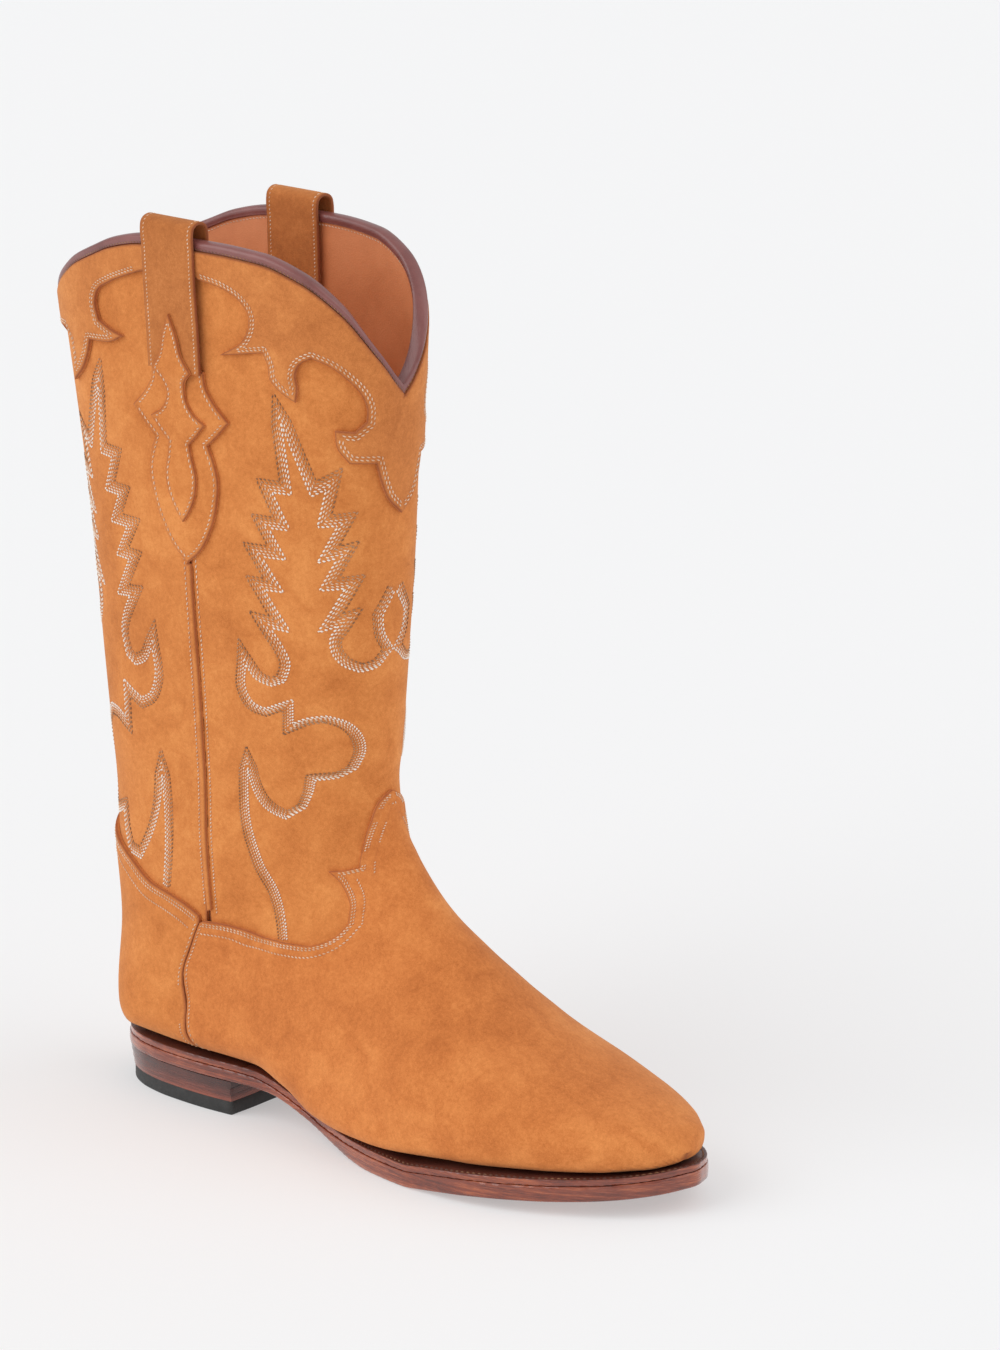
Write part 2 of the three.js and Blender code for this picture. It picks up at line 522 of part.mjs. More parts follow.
// U-shaped strip folded over the top edge, half of the way round.
const BINDING_SAMPLES = 28;
const binding = (centre) => {
  const step = 0.5 / BINDING_SAMPLES;
  const samples = Array.from({ length: BINDING_SAMPLES + 1 }, (_, k) => centre - 0.25 + step * k);
  const heights = samples.map(topStation);
  const height = (share) => {
    const k = Math.min(Math.max(Math.floor((share - samples[0]) / step), 0), BINDING_SAMPLES - 1);
    return heights[k] + ((heights[k + 1] - heights[k]) * (share - samples[k])) / step;
  };
  const shares = bindingShares(samples);
  const [out, inn] = [LAYER.base[1] + GAP, LAYER.lining[0] - GAP];
  const positions = [];
  const triangles = [];
  shares.forEach((share) => {
    const t = height(share);
    const [fold, under, hem] = [t - 0.5 - BINDING, t - 0.5, t + BINDING_DEPTH];
    [[fold, out + BINDING], [fold, inn - BINDING], [hem, inn - BINDING], [hem, inn],
      [under, inn], [under, out], [hem, out], [hem, out + BINDING]].forEach(([station, offset]) => {
      const p = surface(share, station, offset);
      positions.push(p.x, p.y, p.z);
    });
  });
  for (let k = 0; k < shares.length - 1; k += 1) {
    for (let i = 0; i < 8; i += 1) {
      const [a, b] = [k * 8 + i, k * 8 + ((i + 1) % 8)];
      triangles.push(a, b, a + 8, b, b + 8, a + 8);
    }
  }
  const cap = [[0, 1, 4], [0, 4, 5], [1, 2, 3], [1, 3, 4], [0, 5, 7], [5, 6, 7]];
  const end = (shares.length - 1) * 8;
  cap.forEach(([a, b, c]) => triangles.push(a, c, b, end + a, end + b, end + c));
  return fromArrays(positions, triangles);
};

// ---------------------------------------------------------------- pull straps and side trim
const OVER_COLLAR = 1.9;         // the strap lies on top of the collar and the binding
const strapLift = (t) => OVER_COLLAR * (1 - THREE.MathUtils.smoothstep(t, 51, 61));
const LIFT_LINES = [50.5, 52.5, 54.5, 57.5, 61];
// Path of the strap in [station, offset]: up the outside, over the top, down the inside.
const strapPath = () => {
  const inner = LAYER.lining[0] - GAP - BINDING - GAP - STRAP / 2;
  const outer = GAP + OVER_COLLAR - 0.1 + STRAP / 2;
  const crown = topStation(0.25) - 0.4 - BINDING - STRAP_RISE;
  const path = [[49.5, outer], [36, outer], [22, outer], [8, outer], [-2, outer]];
  const middle = (inner + outer) / 2;
  const reach = (outer - inner) / 2;
  const shoulder = crown + reach * 0.75;
  for (let k = 0; k <= 8; k += 1) {
    const angle = (Math.PI * k) / 8;
    path.push([shoulder - (reach * 0.75 + STRAP / 2) * Math.sin(angle), middle + reach * Math.cos(angle)]);
  }
  return [...path, [-2, inner], [8, inner], [22, inner], [36, inner], [46, inner]];
};
// The two faces of the strap along its path: each row is a pair of [station, offset].
const strapRows = () => {
  const path = strapPath();
  return path.map(([t, d], k) => {
    const before = path[Math.max(k - 1, 0)];
    const after = path[Math.min(k + 1, path.length - 1)];
    const [dt, dd] = [after[0] - before[0], after[1] - before[1]];
    const half = STRAP / 2 / Math.hypot(dt, dd);
    return [[t + dd * half, d - dt * half], [t - dd * half, d + dt * half]];
  });
};
const STRAP_CELLS = 6;           // facets across the width of the strap
const strap = (centre) => {
  const positions = [];
  const triangles = [];
  const rows = strapRows();
  const stride = 2 * (STRAP_CELLS + 1);
  rows.forEach((pair) => {
    for (let c = 0; c <= STRAP_CELLS; c += 1) {
      const a = STRAP_HALF * ((2 * c) / STRAP_CELLS - 1);
      pair.forEach(([t, d]) => {
        const p = surface(centre + a / girth(Math.max(t, 0)), t, d);
        positions.push(p.x, p.y, p.z);
      });
    }
  });
  const quad = (a, b, c, d) => triangles.push(a, b, c, a, c, d);
  for (let r = 0; r < rows.length - 1; r += 1) {
    const [low, high] = [r * stride, (r + 1) * stride];
    for (let k = 0; k < stride - 2; k += 2) {
      quad(low + k, low + k + 2, high + k + 2, high + k);
      quad(low + k + 1, high + k + 1, high + k + 3, low + k + 3);
    }
    quad(low, high, high + 1, low + 1);
    quad(low + stride - 2, low + stride - 1, high + stride - 1, high + stride - 2);
  }
  const last = (rows.length - 1) * stride;
  for (let k = 0; k < stride - 2; k += 2) {
    quad(k, k + 1, k + 3, k + 2);
    quad(last + k, last + k + 2, last + k + 3, last + k + 1);
  }
  return fromArrays(positions, triangles);
};
const tail = (centre) => laid(centre, mirrored([[0, 50.5], ...TAIL_OUTLINE]), GAP, GAP + STRAP);
const spear = (centre) => {
  const low = GAP + STRAP + GAP;
  return laid(centre, mirrored(SPEAR_OUTLINE), low, low + 1.1, strapLift, LIFT_LINES);
};
const bead = (centre) => {
  const outline = [[-1.3, 122.5], [1.3, 122.5], [1.3, 283], [-1.3, 283]];
  return laid(centre, outline, GAP, GAP + 1.2);
};

// ---------------------------------------------------------------- bottom
const insideBody = () => body(LAYER.lining[0] - 0.35, FOOT_TOP);
const bottomSlab = (low, high) => soleSlab(-12, 290, seatPlus(low), seatPlus(high));
const INSOLE_TOE_X = 257;
const insole = (inside) => inside.intersect(bottomSlab(5.6, 8.2)).intersect(window(-40, INSOLE_TOE_X));
const sockLiner = (inside) => inside.intersect(bottomSlab(8.5, 9.6)).intersect(window(-40, INSOLE_TOE_X));
const ringLayer = (inset, x0, x1) => soleSlab(-12, 290, seatPlus(-GAP - WELT), seatPlus(-GAP))
  .intersect(prism(soleOutline(inset), -10, 60))
  .subtract(prism(soleOutline(MARGIN_INSET), -11, 61))
  .intersect(window(x0, x1));
const WELT_SPLIT_X = 76;
const welt = () => ringLayer(0.4, WELT_SPLIT_X, 290);
const rand = () => ringLayer(0.4, -12, WELT_SPLIT_X - GAP);
const outsole = () => soleLayer(soleOutline(0), undersideZ, seatPlus(-GAP - WELT - GAP));
const SHANK = { x0: 34, x1: 132, half: 7 };
const shankOutline = (grow) => [
  [SHANK.x0 - grow, -SHANK.half - grow], [SHANK.x1 + grow, -SHANK.half - grow],
  [SHANK.x1 + grow, SHANK.half + grow], [SHANK.x0 - grow, SHANK.half + grow],
];
const corkFiller = () => {
  const groove = soleLayer(shankOutline(GAP), seatPlus(-GAP - WELT - 2), seatPlus(-WELT + 1.6));
  return soleLayer(soleOutline(MARGIN_INSET + 0.4), seatPlus(-GAP - WELT), seatPlus(5.1)).subtract(groove);
};
const shank = () => soleLayer(shankOutline(0), seatPlus(-GAP - WELT), seatPlus(-GAP - WELT + 1.6));

const NAILS = [[16, -14], [16, 14], [38, -20], [38, 20], [58, -20], [58, 20], [28, 0]];
const nailGeometry = (radius, low, high) => {
  const geometry = new THREE.CylinderGeometry(radius, radius, high - low, 8);
  return geometry.rotateX(Math.PI / 2).translate(0, 0, (low + high) / 2);
};
const heelOutline = (inset) => {
  const [lateral, medial] = [planSide(1), planSide(2)];
  const xs = [0, 0.6, 2, 4.5, 8, 13, 20, 30, 42, 55, HEEL_BREAST_X - 1.5];
  const x0 = SOLE_PLAN[0][0] + inset;
  const squeeze = (x) => x0 + (x * (HEEL_BREAST_X - inset * 0.5 - x0)) / HEEL_BREAST_X;
  const side = (edge, sign) => xs.map((x) => [squeeze(x), edge(x + SOLE_PLAN[0][0]) - sign * inset]);
  const breast = [[HEEL_BREAST_X - 2.5, -15], [HEEL_BREAST_X - 3.4, 0], [HEEL_BREAST_X - 2.5, 15]];
  return [...side(lateral, -1), ...breast, ...backwards(side(medial, 1))];
};
const heelLayer = (index, low, high, drilled) => {
  let solid = prism(heelOutline(0.6 + 0.35 * index), low, high);
  if (drilled) {
    NAILS.forEach(([x, y]) => {
      const hole = nailGeometry(NAIL_RADIUS + GAP, low - 1, high + 1).translate(x, y, 0);
      solid = solid.subtract(fromGeometry(hole));
    });
  }
  return solid;
};

// ---------------------------------------------------------------- assembly
const group = new THREE.Group();
group.name = 'cowboy_boot';
const add = (name, geometry, material) => {
  const mesh = new THREE.Mesh(geometry, material);
  mesh.name = name;
  group.add(mesh);
  return mesh;
};
const addSolid = (name, solid, material) => add(name, toGeometry(solid), material);

addSolid('shaft_front', shaftPanel(0.5, SHAFT_FRONT_FOOT), MATERIAL.suede);
addSolid('shaft_back', shaftPanel(0, SHAFT_BACK_FOOT), MATERIAL.suede);
addSolid('vamp', vamp(), MATERIAL.suede);
addSolid('counter', counter(), MATERIAL.suede);
addSolid('collar_front', collar(0.5, COLLAR_FRONT_EDGE), MATERIAL.suedeDark);
addSolid('collar_back', collar(0, COLLAR_BACK_EDGE), MATERIAL.suedeDark);
addSolid('top_binding_front', binding(0.5), MATERIAL.binding);
addSolid('top_binding_back', binding(0), MATERIAL.binding);
[['outer', 0.25], ['inner', 0.75]].forEach(([side, centre]) => {
  addSolid(`pull_strap_${side}`, strap(centre), MATERIAL.suedeDark);
  addSolid(`strap_tail_${side}`, tail(centre), MATERIAL.suede);
  addSolid(`strap_spear_${side}`, spear(centre), MATERIAL.suedeDark);
  addSolid(`side_bead_${side}`, bead(centre), MATERIAL.suedeDark);
});
addSolid('shaft_lining_front', shaftLining(0.5), MATERIAL.lining);
addSolid('shaft_lining_back', shaftLining(0), MATERIAL.lining);
const liningOfFoot = footLining();
addSolid('vamp_lining', vampLining(liningOfFoot), MATERIAL.lining);
addSolid('heel_lining', heelLining(liningOfFoot), MATERIAL.lining);
addSolid('toe_box', toeBox(), MATERIAL.board);
addSolid('vamp_interlining', interlining(), MATERIAL.board);
addSolid('heel_stiffener', heelStiffener(), MATERIAL.board);
const hollow = insideBody();
addSolid('insole', insole(hollow), MATERIAL.insole);
addSolid('sock_liner', sockLiner(hollow), MATERIAL.lining);
addSolid('cork_filler', corkFiller(), MATERIAL.cork);
addSolid('shank', shank(), MATERIAL.steel);
addSolid('welt', welt(), MATERIAL.sole);
addSolid('heel_rand', rand(), MATERIAL.sole);
addSolid('outsole', outsole(), MATERIAL.sole);
for (let k = 0; k < LIFT_COUNT; k += 1) {
  const low = RUBBER + GAP + k * (LIFT + GAP);
  const high = k === LIFT_COUNT - 1 ? undersideZ(0) - GAP : low + LIFT;
  addSolid(`heel_lift_${LIFT_COUNT - k}`, heelLayer(LIFT_COUNT - k, low, high, true), MATERIAL.sole);
}
addSolid('heel_top_lift', heelLayer(LIFT_COUNT + 1, 0, RUBBER, false), MATERIAL.rubber);
NAILS.forEach(([x, y], k) => {
  const nail = nailGeometry(NAIL_RADIUS, RUBBER + GAP, undersideZ(0) - GAP);
  add(`heel_nail_${k + 1}`, nail, MATERIAL.steel).position.set(x, y, 0);
});

// Origin: centre of the bounding box on the ground.
const bounds = new THREE.Box3().setFromObject(group);
group.children.forEach((mesh) => {
  mesh.position.x -= (bounds.min.x + bounds.max.x) / 2;
  mesh.position.y -= (bounds.min.y + bounds.max.y) / 2;
  mesh.position.z -= bounds.min.z;
});

export default group;
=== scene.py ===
"""Looks of the cowboy boot: smooth leather pieces, stitches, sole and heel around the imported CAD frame."""

import math

import bmesh
import bpy
import numpy as np
from mathutils import Matrix, Vector
from mathutils.geometry import delaunay_2d_cdt
from mathutils.kdtree import KDTree


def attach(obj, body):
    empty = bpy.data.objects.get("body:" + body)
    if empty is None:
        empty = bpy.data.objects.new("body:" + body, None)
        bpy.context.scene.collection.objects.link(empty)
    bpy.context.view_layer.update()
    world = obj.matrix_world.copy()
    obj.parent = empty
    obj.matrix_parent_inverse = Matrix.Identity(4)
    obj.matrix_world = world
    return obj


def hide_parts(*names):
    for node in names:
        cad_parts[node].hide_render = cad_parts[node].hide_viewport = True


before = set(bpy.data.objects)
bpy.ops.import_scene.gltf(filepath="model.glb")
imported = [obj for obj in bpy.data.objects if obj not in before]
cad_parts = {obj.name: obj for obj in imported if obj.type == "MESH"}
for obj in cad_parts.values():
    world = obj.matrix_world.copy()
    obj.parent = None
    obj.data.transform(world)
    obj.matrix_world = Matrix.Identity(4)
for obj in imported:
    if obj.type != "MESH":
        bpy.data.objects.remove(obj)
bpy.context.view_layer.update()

# ---------------------------------------------------------------- driving dimensions, mm
MM = 0.001
ORIGIN = np.array([-121.174, 0.631, 0.0])  # the boot's own axes in the row frame
LEATHER = 1.6
WELT = 2.6
RUBBER = 5.4
LIFT = 2.5
LIFT_COUNT = 3
GAP = 0.3
HEEL_BREAST_X = 72.0
HEEL_TOP = 13.8
STRAP_HALF = 13.0
STRAP_THICK = 1.4
STRAP_RISE = 6.8
STRAP_STEP = 0.9  # distance between the sections of the strap
OVER_COLLAR = 1.9
OVER_SHAFT = (0.15, OVER_COLLAR)  # offsets of the back and the face of the pieces laid over the shaft
TAIL_LAYER = (0.15, 1.7)
SPEAR_LAYER = (1.8, 3.1)
BEAD_LAYER = (0.1, 1.5)
LINING_LAYER = (-3.1, -1.75)
LINING_FOOT = 256.0  # station where the lining of the shaft ends
BEAD_HALF, BEAD_TOP, BEAD_FOOT = (1.3, 121.5, 284.0)
TOP_GIRTH = 400  # flat width that stands for the whole top line in the rows of the binding
BINDING_BACK = 1.2  # thickness of the binding inside the boot
HALVES = {"front": 0.5, "back": 0.0}  # share of the girth at the centre line of each half
SIDES = {"outer": 0.25, "inner": 0.75}
MARGIN_INSET = 14.0
FINE, COARSE = (1.6, 6.0)
ROW_STEP = 1.02  # distance between the rows of the flame stitching
FLAME_ROWS = 5

# station, low point x z, high point x z, half width, widest share, roundness, sideways shifts
SECTIONS = np.array([
    [-26, -35.5, 357.0, 137.0, 357.0, 35.8, 0.50, 2.5, 0.39, 2.5, 0.39, 0.0, 0.0],
    [0, -32.5, 334.5, 136.0, 334.5, 35.5, 0.50, 2.5, 0.39, 2.5, 0.39, 0.0, 0.0],
    [52, -26.0, 289.5, 133.5, 289.5, 35.0, 0.50, 2.5, 0.39, 2.5, 0.39, 0.0, 0.0],
    [104, -18.5, 234.5, 131.0, 234.5, 33.5, 0.50, 2.5, 0.40, 2.5, 0.40, 0.0, 0.0],
    [156, -12.0, 179.5, 128.5, 183.5, 32.0, 0.50, 2.4, 0.42, 2.4, 0.42, 0.0, 0.0],
    [198, -7.0, 134.5, 126.5, 159.5, 31.0, 0.47, 2.4, 0.42, 2.3, 0.44, 0.0, 0.0],
    [234, -3.5, 97.5, 125.5, 140.5, 30.5, 0.42, 2.3, 0.44, 2.2, 0.46, 0.0, 0.0],
    [265, -1.5, 64.5, 127.0, 126.5, 30.0, 0.36, 2.3, 0.45, 2.1, 0.48, 0.0, 0.0],
    [291, 0.0, 39.5, 131.0, 115.5, 30.0, 0.30, 2.8, 0.40, 2.0, 0.50, 0.0, 0.0],
    [303, 3.0, 28.5, 134.0, 111.0, 30.0, 0.27, 3.4, 0.35, 2.0, 0.50, 0.0, 0.0],
    [312, 11.0, 23.3, 137.0, 106.5, 30.0, 0.25, 4.2, 0.28, 2.0, 0.50, 0.0, 0.0],
    [333, 40.0, 23.3, 144.0, 97.5, 30.5, 0.24, 4.5, 0.25, 2.0, 0.50, -1.0, 0.0],
    [359, 80.0, 22.9, 154.5, 86.5, 33.0, 0.26, 3.6, 0.34, 2.0, 0.50, -2.0, 0.0],
    [374, 99.0, 18.1, 161.5, 81.0, 35.5, 0.28, 3.6, 0.32, 2.0, 0.50, -2.5, -0.5],
    [390, 119.0, 12.3, 170.0, 74.5, 38.5, 0.29, 4.6, 0.24, 2.0, 0.50, -2.5, -1.0],
    [408, 139.0, 11.2, 179.5, 67.5, 41.5, 0.29, 6.0, 0.18, 2.0, 0.50, -2.0, -1.0],
    [426, 160.0, 11.1, 190.0, 60.5, 43.5, 0.28, 7.0, 0.15, 2.1, 0.50, -1.5, -0.5],
    [458, 195.0, 13.5, 211.5, 49.5, 42.5, 0.30, 7.0, 0.15, 2.1, 0.50, 0.0, 0.5],
    [484, 225.0, 15.7, 233.0, 40.5, 36.5, 0.32, 6.0, 0.17, 2.1, 0.50, 2.0, 2.0],
    [504, 247.0, 17.2, 251.0, 34.0, 27.0, 0.35, 5.0, 0.20, 2.1, 0.50, 3.0, 3.0],
    [515, 259.0, 18.4, 261.0, 29.5, 17.5, 0.42, 4.0, 0.26, 2.1, 0.50, 3.6, 3.6],
])
NOSE_START = 515.0  # the toe closes in a quarter ellipse from here
NOSE_LENGTH = 19.0
NOSE_REACH = 6.8
NOSE_HEIGHT = 0.33  # share of the height at which the nose closes
TOE_END = NOSE_START + NOSE_LENGTH

# Shares of the girth and stations of the scalloped top line.
TOP_LINE = np.array([
    [0.0, 38], [0.05, 31], [0.08, 21.5], [0.107, 13.5], [0.14, 6.5], [0.172, 0.5], [0.21, -3.5],
    [0.25, -5], [0.30, -5], [0.352, -3.5], [0.395, 3], [0.434, 16], [0.467, 35], [0.49, 48], [0.5, 52],
])
# Outlines on the leather: mm from the centre line, station; one half.
VAMP_EDGE = [
    (0, 248), (4.5, 253), (10, 271), (15, 288), (18.5, 300), (24, 297.5), (30, 293), (27.5, 306),
    (28, 319), (32, 330), (38.5, 333), (48, 331.5), (58, 323), (71, 307), (82, 295.5), (92, 288),
]
SHAFT_FRONT_FOOT = [(0, 290), (14, 308), (26, 338), (45, 344), (58, 336), (75, 320), (93, 302)]
SHAFT_BACK_FOOT = [(0, 238), (18, 248), (36, 260), (51, 272), (64, 281), (86, 299)]
COUNTER_EDGE = [(0, 224), (18, 234), (36, 246), (51, 259), (64, 268), (76, 278), (82, 284)]
SIDE_SEAM = [(83, 288), (79, 297), (71, 308), (55.5, 322), (36.5, 334), (20, 345)]
COLLAR_FRONT_EDGE = [
    (87, 10), (76, 12), (68, 16), (63.5, 22), (63, 27), (65.5, 34), (76, 42), (66, 40), (56.5, 38),
    (54, 43), (53, 48.5), (48.5, 53), (42, 56.5), (41.5, 51), (42.5, 45.5), (41, 41), (36.5, 38),
    (29.5, 41), (23.5, 46), (18.5, 52), (16, 58), (16, 63), (20, 66.5), (27, 66), (26, 72),
    (21.5, 77.5), (12, 78), (10, 84), (7, 90.5), (0, 97),
]
COLLAR_BACK_EDGE = [
    (82, 12), (75, 15), (65.5, 19.5), (57.5, 25), (55, 31), (56, 38), (63, 41), (69, 42.5), (62, 46),
    (55, 47), (49, 47.5), (47, 52), (42, 59), (31, 66.5), (34, 57), (34, 50.5), (30, 46), (22, 47),
    (14, 51), (8, 58), (5, 66), (0, 74),
]
TAIL_OUTLINE = [
    (13, 50.5), (13.5, 56), (17, 61.5), (24, 68), (17.5, 74), (13, 77.5), (15.5, 83), (17, 89),
    (16, 97), (12.5, 107), (7, 115.5), (0, 121),
]
SPEAR_OUTLINE = [
    (0, 27), (3.5, 37), (5.5, 45), (9.5, 51), (5.5, 55.5), (4.5, 61), (7, 66), (13.5, 70), (9, 74.5),
    (5, 78), (6, 83), (7.5, 89), (6, 97), (2.5, 103), (0, 106),
]
# Inner row of the flame stitching: up from the front centre line, then down to the vamp.
FLAME = [
    (0, 125), (3, 129.5), (6.2, 134), (5.4, 140), (0, 149), (2.7, 151), (7.3, 156), (14.6, 158),
    (21.4, 154), (25.6, 148), (26.2, 141.5), (23.4, 137), (31.3, 140), (21.5, 123), (31.2, 124),
    (24.7, 112), (32.3, 114), (25, 100), (32.8, 101), (29.8, 87), (35.5, 90), (48.5, 65), (43.4, 90),
    (51.4, 90), (43.4, 103), (52.7, 103), (45, 114), (55.5, 114), (45.7, 126), (54, 126), (42.1, 141),
    (51, 140), (45.5, 147), (42.1, 154), (43.6, 164), (49.4, 167), (56.2, 164), (61.2, 157.5),
    (61.2, 169), (56.1, 178), (51.4, 180), (39.9, 174), (39.4, 189), (33.7, 186), (25.9, 185),
    (18.7, 190), (12.8, 200), (10.9, 212), (13.4, 224), (19.7, 228), (29.9, 227), (30.6, 233),
    (34, 244), (43.1, 248), (51.1, 239), (58.6, 218), (59.3, 213), (59.6, 243), (57, 269),
    (53.8, 293), (55.5, 305), (58, 314), (60, 321),
]
# Outsole outline: x, lateral edge, medial edge. Seat: underside of the upper. Underside: of the sole.
SOLE_PLAN = np.array([
    [-1.5, -2, 2], [0.5, -8.5, 8.5], [5, -15.5, 15.5], [12, -21.5, 21.5], [22, -26, 26],
    [36, -28.8, 28.8], [54, -29.8, 30], [72, -29, 29.5], [90, -27.5, 27], [108, -28.5, 27],
    [125, -33, 31], [142, -39, 37], [160, -43.8, 41.7], [178, -46.2, 44.4], [195, -46, 45.2],
    [212, -43.2, 44.2], [228, -37.8, 41.2], [242, -30.6, 36.6], [254, -22.4, 29.8], [263, -13.8, 22.2],
    [268.5, -6.2, 15.2], [271.5, 1, 8.5],
])
SEAT = np.array([
    [-10, 21.4], [70, 21.4], [80, 21.0], [89, 19.2], [99, 16.2], [109, 13.0], [120, 10.3], [134, 9.3],
    [150, 9.2], [172, 9.2], [182, 10.2], [195, 11.6], [215, 13.2], [239, 14.7], [253, 15.8], [265, 17.4],
    [276, 19.6],
])
UNDERSIDE = np.array([
    [-10, 13.8], [76, 13.8], [88, 13.0], [98, 10.8], [108, 7.6], [118, 4.9], [130, 2.3], [142, 0.6],
    [150, 0], [172, 0], [182, 0.9], [195, 2.3], [215, 4.0], [239, 5.6], [253, 6.8], [265, 8.4],
    [276, 10.6],
])


# ---------------------------------------------------------------- curves
def curve(xs, ys):
    """Monotone cubic through the points, straight beyond both ends."""
    xs, ys = (np.asarray(xs, float), np.asarray(ys, float))
    h = np.diff(xs)
    slope = np.diff(ys) / h
    product = slope[:-1] * slope[1:]
    total = slope[:-1] + slope[1:]
    inner = np.where(product > 0, 2 * product / np.where(total == 0, 1, total), 0)
    m = np.concatenate([[slope[0]], inner, [slope[-1]]])

    def value(x):
        x = np.asarray(x, float)
        i = np.clip(np.searchsorted(xs, x, side="right") - 1, 0, len(h) - 1)
        t = (x - xs[i]) / h[i]
        s = 1 - t
        inside = (
            ys[i] * (1 + 2 * t) * s * s
            + ys[i + 1] * t * t * (3 - 2 * t)
            + h[i] * t * s * (m[i] * s - m[i + 1] * t)
        )
        low = ys[0] + m[0] * (x - xs[0])
        high = ys[-1] + m[-1] * (x - xs[-1])
        return np.where(x < xs[0], low, np.where(x > xs[-1], high, inside))

    return value


def profile(rows, column=1):
    return curve(rows[:, 0], rows[:, column])


def smooth_line(points, pitch, closed=False, corner=38.0):
    """Round curve through points, sharp where the line turns by more than corner degrees."""
    p = np.array(points, float)
    n = len(p)
    before = np.roll(p, 1, axis=0)
    after = np.roll(p, -1, axis=0)
    a, b = (p - before, after - p)
    turn = np.degrees(np.abs(np.arctan2(a[:, 0] * b[:, 1] - a[:, 1] * b[:, 0], (a * b).sum(1))))
    sharp = turn > corner
    if not closed:
        sharp[0] = sharp[-1] = True
    chord = np.linalg.norm(b, axis=1)
    chord_before = np.roll(chord, 1)
    tangent = a / np.maximum(chord_before, 1e-9)[:, None] * chord[:, None]
    tangent += b / np.maximum(chord, 1e-9)[:, None] * chord_before[:, None]
    tangent /= (chord + chord_before)[:, None]
    out = []
    for i in range(n if closed else n - 1):
        j = (i + 1) % n
        length = chord[i]
        leave = b[i] / length if sharp[i] else tangent[i]
        arrive = b[i] / length if sharp[j] else tangent[j]
        steps = max(2, int(math.ceil(length / pitch)))
        t = np.arange(steps)[:, None] / steps
        s = 1 - t
        out.append(
            p[i] * (1 + 2 * t) * s * s + p[j] * t * t * (3 - 2 * t)
            + length * t * s * (leave * s - arrive * t)
        )
    if not closed:
        out.append(p[-1:])
    return np.vstack(out)


def resample(line, pitch):
    """Points at an even distance along an open line."""
    reach = np.concatenate([[0], np.cumsum(np.linalg.norm(np.diff(line, axis=0), axis=1))])
    count = max(2, int(round(reach[-1] / pitch)) + 1)
    goal = np.linspace(0, reach[-1], count)
    return np.stack([np.interp(goal, reach, line[:, k]) for k in range(line.shape[1])], axis=1)


def offset_line(line, distance, limit=2.9, closed=False):
    """Line moved sideways by distance, with mitred corners."""
    p = np.asarray(line, float)
    d = np.roll(p, -1, axis=0) - p
    if not closed:
        d[-1] = d[-2]
    d /= np.maximum(np.linalg.norm(d, axis=1), 1e-9)[:, None]
    normal = np.stack([d[:, 1], -d[:, 0]], axis=1)
    previous = np.roll(normal, 1, axis=0)
    if not closed:
        previous[0] = normal[0]
    miter = (normal + previous) / (1 + (normal * previous).sum(1))[:, None].clip(0.02)
    length = np.linalg.norm(miter, axis=1)
    miter *= (np.minimum(length, limit) / np.maximum(length, 1e-9))[:, None]
    return p + miter * distance


def mirrored(half):
    """Both halves of an outline that starts and may end on the centre line."""
    return list(half) + [(-a, t) for a, t in reversed(half) if a > 0]


class Near:
    """Distance from points to a set of points in the plane."""

    def __init__(self, points):
        self.tree = KDTree(len(points))
        for i, (x, y) in enumerate(points):
            self.tree.insert((x, y, 0.0), i)
        self.tree.balance()

    def distance(self, points):
        return np.array([self.tree.find((x, y, 0.0))[2] for x, y in points])


# ---------------------------------------------------------------- surface of the boot
SHARES = 720
SECTION_CURVES = [profile(SECTIONS, k) for k in range(1, 13)]
ROWS = np.concatenate([np.arange(-45.0, NOSE_START, 1.0), np.linspace(NOSE_START, TOE_END - 0.15, 60)])


def section_values(station, angle):
    """Numbers of one section; beyond the start of the nose they keep their last slope."""
    values = np.array([float(f(min(station, NOSE_START))) for f in SECTION_CURVES])
    if angle <= 0:
        return values
    before = np.array([float(f(NOSE_START - 4.0)) for f in SECTION_CURVES])
    moved = values + (values - before) / 4.0 * NOSE_REACH * math.sin(angle)
    moved[5:10] = values[5:10]
    return moved


def ring(station):
    """Points of one section at even shares of its girth, from the low centre by the lateral side."""
    angle = math.pi / 2 * max(station - NOSE_START, 0.0) / NOSE_LENGTH
    bx, bz, fx, fz, width, tm, pb, qb, pf, qf, yb, yf = section_values(station, angle)
    phi = np.linspace(-math.pi / 2, math.pi / 2, 721)
    sine, cosine = (np.abs(np.sin(phi)), np.abs(np.cos(phi)))
    low = phi < 0
    w = width * cosine ** (2 * np.where(low, qb, qf))
    t = np.where(low, tm - tm * sine ** (2 / pb), tm + (1 - tm) * sine ** (2 / pf))
    half = np.stack([bx + (fx - bx) * t, w, yb + (yf - yb) * t, bz + (fz - bz) * t], axis=1)
    if angle > 0:
        middle = np.array([(bx + fx) / 2, 0, half[360, 2], bz + (fz - bz) * NOSE_HEIGHT])
        half = middle + (half - middle) * math.cos(angle)
    step = np.linalg.norm(np.diff(half[:, [0, 1, 3]], axis=0), axis=1)
    reach = np.concatenate([[0], np.cumsum(step)])
    goal = np.linspace(0, reach[-1], SHARES // 2 + 1)
    x, w, c, z = (np.interp(goal, reach, half[:, k]) for k in range(4))
    lateral = np.stack([x, c - w, z], axis=1)
    medial = np.stack([x, c + w, z], axis=1)[::-1][1:-1]
    return np.vstack([lateral, medial]), 2 * reach[-1]


